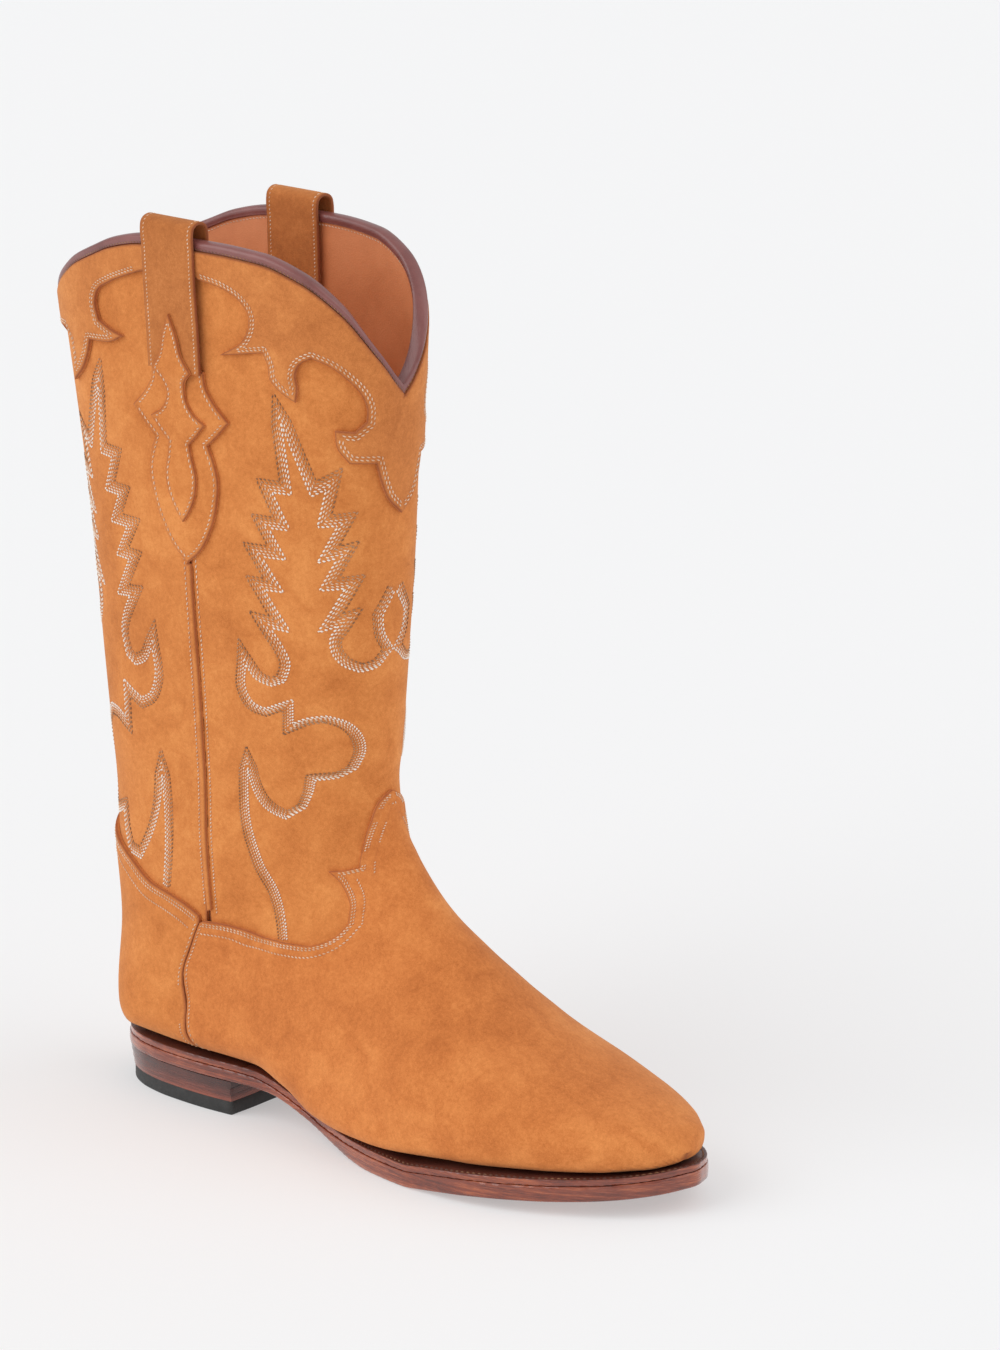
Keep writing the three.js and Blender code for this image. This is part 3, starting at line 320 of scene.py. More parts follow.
def gentle_waves():
    """Slow swells of the leather on the surface grid, in mm outwards."""
    q = np.linspace(0, 2 * math.pi, SHARES, endpoint=False)[None, :]
    t = ROWS[:, None]
    fade = np.clip((TOE_END - 40 - t) / 60, 0, 1) * np.clip((t + 10) / 50, 0, 1)
    wave = 0.30 * np.sin(2 * q + t / 31 + 0.7) + 0.22 * np.sin(3 * q - t / 23 + 2.1)
    wave = wave + 0.16 * np.sin(5 * q + t / 17 + 4.0) + 0.12 * np.sin(7 * q - t / 11 + 1.0)
    ankle = np.exp(-(((t - 232) / 46) ** 2))
    fold = 0.55 * ankle * np.sin(t / 9.5 + 1.6 * np.cos(q))
    fold = fold * (0.35 + 0.65 * np.cos(q - math.pi) ** 2)
    return (wave + 0.8 * fold) * fade


def build_surface():
    rings, girths = zip(*[ring(t) for t in ROWS])
    points = np.array(rings)
    girths = np.array(girths)
    along = np.gradient(points, axis=0)
    round_ = np.roll(points, -1, axis=1) - np.roll(points, 1, axis=1)
    normal = np.cross(along, round_)
    normal /= np.maximum(np.linalg.norm(normal, axis=2), 1e-9)[..., None]
    centre = points.mean(axis=1, keepdims=True)
    if ((points - centre) * normal).sum() < 0:
        normal = -normal
    points = points + normal * gentle_waves()[..., None]
    return points, normal, girths


POINTS, NORMALS, GIRTHS = build_surface()


def girth(station):
    return np.interp(station, ROWS, GIRTHS)


def surface(share, station, offset):
    """Point of the boot and its outward normal: share of the girth, station, mm outwards."""
    share, station = (np.atleast_1d(np.asarray(share, float)), np.atleast_1d(np.asarray(station, float)))
    turn = (share % 1.0) * SHARES
    k = np.floor(turn).astype(int) % SHARES
    t = (turn - np.floor(turn))[:, None]
    row = np.interp(station, ROWS, np.arange(len(ROWS)))
    i = np.clip(np.floor(row).astype(int), 0, len(ROWS) - 2)
    s = (row - i)[:, None]
    k2 = (k + 1) % SHARES

    def mix(grid):
        high = grid[i, k] * (1 - t) + grid[i, k2] * t
        low = grid[i + 1, k] * (1 - t) + grid[i + 1, k2] * t
        return high * (1 - s) + low * s

    normal = mix(NORMALS)
    normal /= np.maximum(np.linalg.norm(normal, axis=1), 1e-9)[:, None]
    beyond = np.minimum(station - ROWS[0], 0)[:, None]
    up = (POINTS[0, 0] - POINTS[20, 0]) / 20.0
    point = mix(POINTS) - up * beyond
    return point + normal * np.reshape(offset, (-1, 1)), normal


def on_boot(centre, flat, offset):
    """Flat coordinates (mm from the centre line of a piece, station) laid on the boot."""
    flat = np.asarray(flat, float)
    return surface(centre + flat[:, 0] / girth(flat[:, 1].clip(0)), flat[:, 1], offset)


TOP = profile(TOP_LINE)


def top_station(share):
    turn = np.asarray(share, float) % 1.0
    return TOP(np.minimum(turn, 1 - turn))


# ---------------------------------------------------------------- meshes
def to_row(points):
    return (np.asarray(points) + ORIGIN) * MM


def make_object(name, points, faces, values=None, materials=(), face_material=None, angle=40.0):
    mesh = bpy.data.meshes.new(name)
    mesh.from_pydata(to_row(points).tolist(), [], faces)
    for material in materials:
        mesh.materials.append(material)
    for key, data in (values or {}).items():
        attribute = mesh.attributes.new(key, "FLOAT", "POINT")
        attribute.data.foreach_set("value", np.asarray(data, np.float32))
    if face_material is not None:
        mesh.polygons.foreach_set("material_index", np.asarray(face_material, np.int32))
    mesh.shade_smooth()
    mesh.set_sharp_from_angle(angle=math.radians(angle))
    mesh.update()
    obj = bpy.data.objects.new(name, mesh)
    bpy.context.scene.collection.objects.link(obj)
    return obj


def finish_piece(obj, slot, *nodes):
    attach(obj, "root")
    if nodes:
        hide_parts(*nodes)
    return obj


def inside(points, loops):
    """Even-odd test of points against closed loops."""
    result = np.zeros(len(points), bool)
    x, y = (points[:, 0], points[:, 1])
    for loop in loops:
        for (x0, y0), (x1, y1) in zip(loop, np.roll(loop, -1, axis=0)):
            if y0 == y1:
                continue
            crosses = (y0 > y) != (y1 > y)
            result ^= crosses & (x < (x1 - x0) * (y - y0) / (y1 - y0) + x0)
    return result


def hex_grid(loops, pitch):
    every = np.vstack(loops)
    low, high = (every.min(0), every.max(0))
    ys = np.arange(low[1], high[1], pitch * 0.866)
    rows = []
    for j, y in enumerate(ys):
        xs = np.arange(low[0] + (j % 2) * pitch / 2, high[0], pitch)
        rows.append(np.stack([xs, np.full(len(xs), y)], axis=1))
    return np.vstack(rows)


def triangulate(loops, extra):
    """Triangles over the area inside the loops; also where each loop point ended up."""
    count = sum(len(loop) for loop in loops)
    points = np.vstack([*loops, extra])
    edges, start = ([], 0)
    for loop in loops:
        n = len(loop)
        edges += [(start + i, start + (i + 1) % n) for i in range(n)]
        start += n
    coords, _, faces, origins, _, _ = delaunay_2d_cdt([Vector(p) for p in points], edges, [], 0, 1e-5)
    coords = np.array([tuple(c) for c in coords])
    faces = np.array([tuple(f) for f in faces])
    faces = faces[inside(coords[faces].mean(axis=1), loops)]
    where = np.full(count, -1)
    for i, sources in enumerate(origins):
        for source in sources:
            if source < count:
                where[source] = i
    return coords, faces, where


def rim_drop(distance, radius):
    """How far a rounded edge lies below the face, at a distance from the edge."""
    t = 1 - np.clip(distance / radius, 0, 1)
    return radius * (1 - np.sqrt(1 - t * t * 0.96))


def mesh_side(loops, edge, pitch, rim, grooves):
    """Triangles of one face: even points inside, close rows near a rounded edge and near stitches."""
    grid = hex_grid(loops, pitch)
    groove = None
    if grooves is not None:
        groove = Near(grooves)
        fine = hex_grid([grooves], 0.62)
        fine = fine[groove.distance(fine) < 0.95]
        grid = np.vstack([grid[groove.distance(grid) > 1.25], fine])
    grid = grid[inside(grid, loops)]
    clear = rim * 1.35 + 0.15 if rim else pitch * 0.4
    parts = [grid[edge.distance(grid) > clear]]
    for share in (0.28, 0.75, 1.25) if rim else ():
        for loop in loops:
            for side in (1, -1):
                moved = offset_line(loop, side * rim * share, closed=True)
                good = (edge.distance(moved) > rim * share * 0.93) & inside(moved, loops)
                parts.append(moved[good])
    coords, faces, where = triangulate(loops, np.vstack(parts))
    distance = edge.distance(coords)
    dent = np.zeros(len(coords))
    if groove is not None:
        dent = np.exp(-((groove.distance(coords) / 0.42) ** 2))
    return coords, faces, where, distance, dent


def loop_normals(loop):
    """Outward direction at each point of a closed loop in the plane."""
    d = np.roll(loop, -1, axis=0) - np.roll(loop, 1, axis=0)
    n = np.stack([d[:, 1], -d[:, 0]], axis=1)
    n /= np.maximum(np.linalg.norm(n, axis=1), 1e-9)[:, None]
    area = (loop[:, 0] * np.roll(loop[:, 1], -1) - loop[:, 1] * np.roll(loop[:, 0], -1)).sum()
    return n if area > 0 else -n


def wall_rings(loops, top, bottom, walls, start):
    """Rings of points between the rims of the two faces, and their numbers from start on."""
    outward = np.vstack([loop_normals(loop) for loop in loops])
    outward = np.hstack([outward, np.zeros((len(outward), 1))])
    rings = [top * (1 - share) + bottom * share + outward * push for share, push in walls]
    numbers = [np.arange(len(top)) + start + k * len(top) for k in range(len(rings))]
    return rings, numbers


def wall_faces(loops, rings):
    """Quads between rings of point numbers."""
    faces = []
    for upper, lower in zip(rings, rings[1:]):
        at = 0
        for loop in loops:
            n = len(loop)
            for i in range(n):
                j = (i + 1) % n
                faces.append((upper[at + i], lower[at + i], lower[at + j], upper[at + j]))
            at += n
    return faces


def slab(name, loops, face, back, material, pitch=FINE, rim=0.7, grooves=None, back_pitch=COARSE,
         back_rim=0.0, groove_depth=0.2, wall_material=None, walls=()):
    """Closed sheet between a face and a back, each with or without a rounded edge.

    face(flat, drop) and back(flat, drop) place flat points in space; walls lists rings between
    them as (share of the way down, mm outwards).
    """
    edge = Near(np.vstack([resample(np.vstack([loop, loop[:1]]), 0.3) for loop in loops]))
    coords, faces, where, distance, dent = mesh_side(loops, edge, pitch, rim, grooves)
    drop = rim_drop(distance, rim) if rim else 0 * distance
    top = face(coords, drop + dent * groove_depth)
    under_coords, under_faces, under_where, under_distance, _ = mesh_side(
        loops, edge, back_pitch, back_rim, None
    )
    under_drop = rim_drop(under_distance, back_rim) if back_rim else 0 * under_distance
    under = back(under_coords, under_drop)
    start = len(top)
    all_faces = faces.tolist() + (under_faces[:, ::-1] + start).tolist()
    first_wall = len(all_faces)
    extra, numbers = wall_rings(loops, top[where], under[under_where], walls, start + len(under))
    all_faces += wall_faces(loops, [where, *numbers, under_where + start])
    face_material = np.zeros(len(all_faces), int)
    face_material[first_wall:] = 0 if wall_material is None else 1
    materials = [material] if wall_material is None else [material, wall_material]
    rest = np.zeros(len(under) + sum(len(e) for e in extra))
    # seam holds the stitch-groove mask; the suede material paints shade along it.
    values = {
        "edge": np.concatenate([np.exp(-((distance / 0.55) ** 2)), rest]),
        "seam": np.concatenate([dent, rest]),
    }
    obj = make_object(name, np.vstack([top, under, *extra]), all_faces, values, materials, face_material)
    fix_normals(obj)
    return obj


def fix_normals(obj):
    work = bmesh.new()
    work.from_mesh(obj.data)
    bmesh.ops.recalc_face_normals(work, faces=work.faces)
    work.to_mesh(obj.data)
    work.free()


def sheet(name, centre, outline, layer, material, slot, lift=None, inward=False, **options):
    """Leather piece laid on the boot between the two offsets of its layer; its face is the outer side."""
    low, high = layer
    loop = np.asarray(outline, float)
    raise_by = lift or (lambda t: np.zeros(len(t)))

    def face(flat, drop):
        level = (low + drop) if inward else (high - drop)
        return on_boot(centre, flat, level + raise_by(flat[:, 1]))[0]

    def back(flat, drop):
        level = high if inward else low
        return on_boot(centre, flat, level + raise_by(flat[:, 1]))[0]

    obj = slab(name, [loop], face, back, material, **options)
    return finish_piece(obj, slot, name)


# ---------------------------------------------------------------- stitches
STITCH_RINGS = np.array([[0.0, 0.42], [0.5, 1.0], [1.0, 0.42]])
STITCH_SIDES = 5
STITCH_SLANT = 0.17  # mm that each end lies beside the row
STITCH_ARCH = 0.10  # mm that the middle rises
STITCH_SINK = 0.06
STITCH_HEIGHT = 0.42  # half height as a share of the width
STITCH_GAP = 0.36  # share of the pitch without thread
EDGE_PITCH, EDGE_WIDTH = (1.9, 0.66)  # stitches beside the cut edges
FLAME_PITCH = 1.85
EDGE_ROWS = (-1.4, -2.5)  # mm from the cut edge, inwards
FOOT_ROWS = (*EDGE_ROWS, -6.4)
SEAM_ROW = -1.7
SHAFT_ROW = 3.0  # mm from the side seam
STRAP_ROW = 1.9  # mm from the edge of the strap
BINDING_ROW = 1.9  # mm below the top line
BINDING_INNER_ROW = 2.1  # mm below the outer row


def stitch_frames(line, place, pitch):
    """Both ends and the normals of the stitches along a flat line."""
    reach = np.concatenate([[0], np.cumsum(np.linalg.norm(np.diff(line, axis=0), axis=1))])
    count = int(reach[-1] / pitch)
    if count < 1:
        return None
    start = np.arange(count) * pitch + (reach[-1] - count * pitch) / 2
    ends = []
    for goal in (start + pitch * STITCH_GAP / 2, start + pitch * (1 - STITCH_GAP / 2)):
        flat = np.stack([np.interp(goal, reach, line[:, k]) for k in range(2)], axis=1)
        ends.append(place(flat))
    return ends[0][0], ends[1][0], ends[0][1]


def stitch_points(a, b, n, along, width):
    """Points of slanted stitches from a to b, ring by ring, for each stitch."""
    side = np.cross(n, along)
    a, b = (a + side * STITCH_SLANT, b - side * STITCH_SLANT)
    angles = np.arange(STITCH_SIDES) * 2 * math.pi / STITCH_SIDES + math.pi / 2
    blocks = []
    for t, swell in STITCH_RINGS:
        middle = a + (b - a) * t + n * (STITCH_ARCH * math.sin(math.pi * t) - STITCH_SINK)
        for angle in angles:
            across = side * (math.cos(angle) * width / 2 * swell)
            blocks.append(middle + across + n * (math.sin(angle) * width * STITCH_HEIGHT * swell))
    return np.stack(blocks, axis=1)


def stitch_faces(base):
    """Faces of stitches whose first point numbers are in base."""
    faces = []
    for r in range(2):
        for k in range(STITCH_SIDES):
            j = (k + 1) % STITCH_SIDES
            low, high = (r * STITCH_SIDES, (r + 1) * STITCH_SIDES)
            faces += (base + [low + k, low + j, high + j, high + k]).tolist()
    faces += (base + list(range(STITCH_SIDES - 1, -1, -1))).tolist()
    faces += (base + [2 * STITCH_SIDES + k for k in range(STITCH_SIDES)]).tolist()
    return faces


def stitching(name, rows, slot="suede_tan"):
    """Rows: (line, place, pitch, width, tone); place(flat) gives points and normals."""
    all_points, all_faces, tones, start = ([], [], [], 0)
    per_stitch = len(STITCH_RINGS) * STITCH_SIDES
    for line, place, pitch, width, tone in rows:
        made = stitch_frames(line, place, pitch)
        if made is None:
            continue
        a, b, n = made
        along = b - a
        length = np.linalg.norm(along, axis=1, keepdims=True)
        ok = (length[:, 0] > pitch * 0.35) & (length[:, 0] < pitch * 1.6)
        a, b, n, along = (a[ok], b[ok], n[ok], along[ok] / length[ok])
        count = len(a)
        all_points.append(stitch_points(a, b, n, along, width).reshape(-1, 3))
        all_faces += stitch_faces(start + np.arange(count)[:, None] * per_stitch)
        shade = tone + 0.10 * np.sin(np.arange(count) * 12.9898 + start)
        tones.append(np.repeat(shade, per_stitch))
        start += count * per_stitch
    values = {"tone": np.concatenate(tones)}
    obj = make_object(name, np.vstack(all_points), all_faces, values, [THREAD], angle=80)
    fix_normals(obj)
    return finish_piece(obj, slot)


def placer(centre, offset, lift=None):
    """Function that lays flat points on the boot, offset mm outside its surface."""
    def place(flat):
        level = offset + (lift(flat[:, 1]) if lift else 0.0)
        return on_boot(centre, flat, np.full(len(flat), 1.0) * level)

    return place


# ---------------------------------------------------------------- materials
def new_material(name):
    material = bpy.data.materials.new(name)
    material.use_nodes = True
    tree = material.node_tree
    return material, tree, tree.nodes["Principled BSDF"]


def node(tree, kind, inputs=None, **settings):
    made = tree.nodes.new(kind)
    for key, value in settings.items():
        setattr(made, key, value)
    for key, value in (inputs or {}).items():
        if isinstance(value, bpy.types.NodeSocket):
            tree.links.new(value, made.inputs[key])
        else:
            made.inputs[key].default_value = value
    return made


def noise(tree, scale, detail=3.0, roughness=0.5, distortion=0.0, vector=None):
    coordinates = vector or node(tree, "ShaderNodeTexCoord").outputs["Object"]
    made = node(tree, "ShaderNodeTexNoise", {
        "Vector": coordinates, "Scale": scale, "Detail": detail,
        "Roughness": roughness, "Distortion": distortion,
    })
    return made.outputs["Fac"]


def stretched(tree, scale):
    """Object coordinates scaled by different amounts along the axes."""
    coordinates = node(tree, "ShaderNodeTexCoord").outputs["Object"]
    return node(tree, "ShaderNodeMapping", {"Vector": coordinates, "Scale": scale}).outputs["Vector"]


def blend(tree, a, b, share):
    """a to b by share; a and b are numbers or sockets."""
    return node(tree, "ShaderNodeMix", {0: share, 2: a, 3: b}, data_type="FLOAT").outputs[0]


def blend_color(tree, a, b, share):
    return node(tree, "ShaderNodeMix", {0: share, 6: a, 7: b}, data_type="RGBA").outputs[2]


def ramp(tree, share, stops):
    made = node(tree, "ShaderNodeValToRGB", {"Fac": share})
    elements = made.color_ramp.elements
    while len(elements) < len(stops):
        elements.new(0.5)
    for element, (position, color) in zip(elements, stops):
        element.position = position
        element.color = (*color, 1.0)
    return made.outputs["Color"]


def attribute(tree, name):
    return node(tree, "ShaderNodeAttribute", attribute_name=name).outputs["Fac"]


def multiply(tree, a, b):
    return node(tree, "ShaderNodeMath", {0: a, 1: b}, operation="MULTIPLY").outputs[0]


def bump(tree, bsdf, height, strength, distance, previous=None):
    inputs = {"Height": height, "Strength": strength, "Distance": distance}
    if previous is not None:
        inputs["Normal"] = previous
    made = node(tree, "ShaderNodeBump", inputs)
    tree.links.new(made.outputs["Normal"], bsdf.inputs["Normal"])
    return made.outputs["Normal"]


def suede(name, dark, base, light, edge_color):
    material, tree, bsdf = new_material(name)
    patches = blend(tree, noise(tree, 24, 3, 0.6, 0.4), noise(tree, 95, 4, 0.6, 0.6), 0.45)
    nap = noise(tree, 620, 4, 0.75, 0.3)
    fuzz = noise(tree, 3000, 2, 0.6)
    tone = blend(tree, blend(tree, patches, nap, 0.34), fuzz, 0.22)
    color = ramp(tree, tone, [(0.37, dark), (0.5, base), (0.62, light)])
    # Painted shade: the suede is darkened a little towards the edge colour along the stitch grooves that the
    # seam attribute marks.
    groove_shade = multiply(tree, attribute(tree, "seam"), 0.13)
    color = blend_color(tree, color, (*edge_color, 1), groove_shade)
    cut = multiply(tree, attribute(tree, "edge"), 0.78)
    color = blend_color(tree, color, (*edge_color, 1), cut)
    tree.links.new(color, bsdf.inputs["Base Color"])
    first = bump(tree, bsdf, fuzz, 0.35, 0.00022)
    second = bump(tree, bsdf, nap, 0.3, 0.0005, first)
    bump(tree, bsdf, patches, 0.25, 0.0015, second)
    bsdf.inputs["Roughness"].default_value = 0.95
    bsdf.inputs["Specular IOR Level"].default_value = 0.2
    bsdf.inputs["Sheen Weight"].default_value = 0.22
    bsdf.inputs["Sheen Roughness"].default_value = 0.45
    bsdf.inputs["Sheen Tint"].default_value = (1.0, 0.72, 0.45, 1)
    return material


def smooth_leather(name, dark, base, light, roughness, coat=0.0, grain=1500.0, depth=0.0002):
    material, tree, bsdf = new_material(name)
    patches = noise(tree, 40, 4, 0.6, 0.3)
    voronoi = node(tree, "ShaderNodeTexVoronoi", {
        "Vector": node(tree, "ShaderNodeTexCoord").outputs["Object"], "Scale": grain,
    }).outputs["Distance"]
    fine = noise(tree, grain * 1.7, 3, 0.6)
    tone = blend(tree, patches, fine, 0.25)
    color = ramp(tree, tone, [(0.3, dark), (0.5, base), (0.7, light)])
    tree.links.new(color, bsdf.inputs["Base Color"])
    rough = node(tree, "ShaderNodeMapRange", {
        "Value": patches, "From Min": 0.3, "From Max": 0.7,
        "To Min": roughness - 0.06, "To Max": roughness + 0.08,
    }).outputs["Result"]
    tree.links.new(rough, bsdf.inputs["Roughness"])
    first = bump(tree, bsdf, voronoi, 0.3, depth)
    bump(tree, bsdf, fine, 0.2, depth, first)
    bsdf.inputs["Coat Weight"].default_value = coat
    bsdf.inputs["Coat Roughness"].default_value = 0.22
    return material


def edge_leather(name, dark, base, light, roughness=0.3, coat=0.35, band=None):
    """Burnished, dyed leather edge: long thin streaks, lighter within a band of heights."""
    material, tree, bsdf = new_material(name)
    streaks = noise(tree, 1.0, 4, 0.65, 0.4, stretched(tree, (26, 26, 620)))
    patches = noise(tree, 60, 3, 0.5)
    fine = noise(tree, 1.0, 3, 0.6, 0.0, stretched(tree, (240, 240, 2600)))
    tone = blend(tree, blend(tree, streaks, patches, 0.35), fine, 0.25)
    if band:
        position = node(tree, "ShaderNodeTexCoord").outputs["Object"]
        height = node(tree, "ShaderNodeSeparateXYZ", {"Vector": position}).outputs["Z"]
        share = node(tree, "ShaderNodeMapRange", {
            "Value": height, "From Min": band[0], "From Max": band[1], "To Min": 0.75, "To Max": 0.28,
        }).outputs["Result"]
        tone = blend(tree, tone, share, 0.38)
    color = ramp(tree, tone, [(0.38, dark), (0.5, base), (0.62, light)])
    tree.links.new(color, bsdf.inputs["Base Color"])
    rough = node(tree, "ShaderNodeMapRange", {
        "Value": fine, "From Min": 0.3, "From Max": 0.7,
        "To Min": roughness - 0.05, "To Max": roughness + 0.12,
    }).outputs["Result"]
    tree.links.new(rough, bsdf.inputs["Roughness"])
    first = bump(tree, bsdf, fine, 0.3, 0.00015)
    bump(tree, bsdf, streaks, 0.25, 0.0002, first)
    bsdf.inputs["Coat Weight"].default_value = coat
    bsdf.inputs["Coat Roughness"].default_value = 0.2
    return material


def thread(name):
    material, tree, bsdf = new_material(name)
    color = ramp(tree, attribute(tree, "tone"), [
        (0.0, (0.07, 0.020, 0.014)), (0.2, (0.34, 0.16, 0.06)), (0.45, (0.70, 0.40, 0.22)),
        (0.7, (0.86, 0.62, 0.44)), (1.0, (0.95, 0.89, 0.80)),
    ])
    fibres = noise(tree, 5200, 2, 0.6)
    color = blend_color(tree, color, (0.30, 0.16, 0.07, 1), multiply(tree, fibres, 0.16))
    tree.links.new(color, bsdf.inputs["Base Color"])
    bump(tree, bsdf, fibres, 0.4, 0.0001)
    bsdf.inputs["Roughness"].default_value = 0.6
    bsdf.inputs["Sheen Weight"].default_value = 0.2
    return material


def plain(name, dark, base, light, roughness, scale, metal=0.0, depth=0.0003):
    material, tree, bsdf = new_material(name)
    tone = blend(tree, noise(tree, scale, 4, 0.6), noise(tree, scale * 9, 2, 0.5), 0.4)
    color = ramp(tree, tone, [(0.32, dark), (0.5, base), (0.68, light)])
    tree.links.new(color, bsdf.inputs["Base Color"])
    bump(tree, bsdf, tone, 0.4, depth)
    bsdf.inputs["Roughness"].default_value = roughness
    bsdf.inputs["Metallic"].default_value = metal
    return material


SUEDE = suede("suede_tan", (0.50, 0.150, 0.034), (0.67, 0.226, 0.058), (0.82, 0.318, 0.092),
              (0.30, 0.080, 0.036))
SUEDE_FOOT = suede("suede_foot", (0.48, 0.136, 0.032), (0.655, 0.210, 0.054), (0.81, 0.302, 0.087),
                   (0.30, 0.080, 0.036))
SUEDE_COLLAR = suede("suede_collar", (0.47, 0.146, 0.038), (0.63, 0.216, 0.060), (0.78, 0.305, 0.092),
                     (0.28, 0.074, 0.034))
SUEDE_DARK = suede("suede_brown", (0.40, 0.125, 0.034), (0.54, 0.182, 0.050), (0.68, 0.255, 0.080),
                   (0.25, 0.066, 0.032))
LINING = smooth_leather("lining_leather", (0.62, 0.205, 0.078), (0.74, 0.262, 0.102),
                        (0.82, 0.31, 0.13), 0.5)
BINDING = smooth_leather("binding_leather", (0.15, 0.044, 0.039), (0.225, 0.072, 0.064),
                         (0.30, 0.105, 0.095), 0.32, 0.35, 1900.0)
EDGE = edge_leather("sole_leather", (0.085, 0.016, 0.010), (0.235, 0.046, 0.021), (0.46, 0.118, 0.044),
                    0.2, 0.7)
WELT_TOP = smooth_leather("welt_top", (0.055, 0.016, 0.012), (0.105, 0.030, 0.022), (0.17, 0.052, 0.036),
                          0.42, 0.15)
HEEL_STACK = edge_leather("heel_stack", (0.050, 0.013, 0.010), (0.135, 0.029, 0.018), (0.30, 0.066, 0.032),
                          0.24, 0.6, (0.0052, 0.0105))
RUBBER_BLACK = plain("rubber", (0.018, 0.018, 0.018), (0.030, 0.030, 0.029),
                     (0.045, 0.044, 0.043), 0.6, 300)
THREAD = thread("thread")
INSOLE = smooth_leather("insole_leather", (0.40, 0.22, 0.10), (0.49, 0.27, 0.13), (0.56, 0.33, 0.17), 0.6)
BOARD = plain("stiffener_board", (0.30, 0.20, 0.10), (0.40, 0.28, 0.15), (0.5, 0.36, 0.2), 0.9, 500)
CORK = plain("cork", (0.16, 0.08, 0.03), (0.27, 0.15, 0.06), (0.4, 0.24, 0.11), 0.95, 420, 0.0, 0.0008)
STEEL = plain("steel", (0.42, 0.42, 0.42), (0.5, 0.5, 0.5), (0.6, 0.6, 0.6), 0.35, 250, 1.0, 0.0001)


# ---------------------------------------------------------------- outlines of the pieces
def station_path(rows, to_front=False):
    """Points measured from the back centre line, or turned to the front one."""
    return [(float(girth(t)) / 2 - a, t) if to_front else (a, t) for a, t in rows]


def hidden_margin():
    """Half width of the bottom that is out of sight, per station."""
    half = POINTS[:, : SHARES // 2 + 1]
    low = half[..., 2].min(axis=1, keepdims=True)
    wide = ((half[..., 2] - low) < 1.3).argmin(axis=1)
    reach = np.where(wide > 0, wide, SHARES // 2) * GIRTHS / SHARES
    return np.maximum(reach - 9.0, 0.0)


MARGIN = hidden_margin()
SEAM_INSET = 0.3


def top_edge(centre, drop, steps=60):
    """From the side seam to the centre line, along the scalloped top."""
    share = 0.25 * (1 - np.arange(steps + 1) / steps)
    t = top_station(centre + share) + drop
    a = share * girth(t) - SEAM_INSET * (np.arange(steps + 1) == 0)
    return [(max(float(x), 0.0), float(y)) for x, y in zip(a, t)]


def panel_outline(centre, foot):
    side = [(float(girth(t)) / 4 - SEAM_INSET, float(t)) for t in range(10, 262, 8)]
    half = list(reversed(top_edge(centre, 0.0))) + side + list(reversed(foot))
    return mirrored(half)


def soft(points, pitch=1.2):
    return [tuple(p) for p in smooth_line(points, pitch)]


def collar_outline(centre, edge):
    top = list(reversed(top_edge(centre, BINDING_EDGE + 0.15)))
    return mirrored(top + [(float(girth(9)) / 4 - 0.4, 8.0)] + soft(edge))


def counter_outline():
    side = [(a - 0.3, t - 0.3) for a, t in SIDE_SEAM]
    return mirrored(soft(COUNTER_EDGE) + soft(side) + [(12.0, 334.0), (0.0, 322.0)])


def vamp_outline():
    top = soft(VAMP_EDGE)
    side = soft(station_path(SIDE_SEAM, to_front=True))
    bottom = []
    for t in np.arange(350.0, TOE_END - 1, 3.0):
        margin = float(np.interp(t, ROWS, MARGIN))
        bottom.append((float(girth(t)) / 2 - margin, float(t)))
    return mirrored(top + side + bottom + [(0.0, TOE_END - 0.3)])


def tail_outline():
    return mirrored([(0.0, 50.5)] + soft(TAIL_OUTLINE))


def spear_outline():
    return mirrored(soft(SPEAR_OUTLINE))


def plan_loop(inset=0.0, pitch=1.3):
    """Closed outline of the outsole, moved inwards."""
    lateral, medial = (profile(SOLE_PLAN, 1), profile(SOLE_PLAN, 2))
    x0, x1 = (SOLE_PLAN[0, 0], SOLE_PLAN[-1, 0])
    x = x0 + (x1 - x0) * (1 - np.cos(np.pi * np.arange(60) / 59)) / 2
    points = [*zip(x, lateral(x)), (x1 + 0.9, 4.7), *zip(x[::-1], medial(x[::-1])), (x0 - 0.35, 0.0)]
    loop = smooth_line(points, 0.6, closed=True, corner=70)
    loop = resample(np.vstack([loop, loop[:1]]), pitch)[:-1]
    if not inset:
        return loop
    n = loop_normals(loop)
    moved = loop - n * inset
    edge = Near(loop)
    return moved[edge.distance(moved) > inset * 0.985 - 0.02]


def heel_outline(inset):
    """Outline of one layer of the heel, moved inwards, with its slightly hollow breast."""
    lateral, medial = (profile(SOLE_PLAN, 1), profile(SOLE_PLAN, 2))
    xs = np.concatenate([[0.0, 0.5, 1.5, 3.2, 5.5, 8.5, 12.5], np.arange(17, HEEL_BREAST_X - 4, 4.5),
                         [HEEL_BREAST_X - 1.5]])
    x0 = SOLE_PLAN[0, 0] + inset
    squeezed = x0 + xs * (HEEL_BREAST_X - inset * 0.5 - x0) / HEEL_BREAST_X
    low = list(zip(squeezed, lateral(xs + SOLE_PLAN[0, 0]) + inset))
    high = list(zip(squeezed, medial(xs + SOLE_PLAN[0, 0]) - inset))
    breast = [(HEEL_BREAST_X - 2.5, -15), (HEEL_BREAST_X - 3.4, 0), (HEEL_BREAST_X - 2.5, 15)]
    points = [*low, *breast, *reversed(high)]
    loop = smooth_line(points, 0.8, closed=True, corner=50)
    return resample(np.vstack([loop, loop[:1]]), 1.2)[:-1]


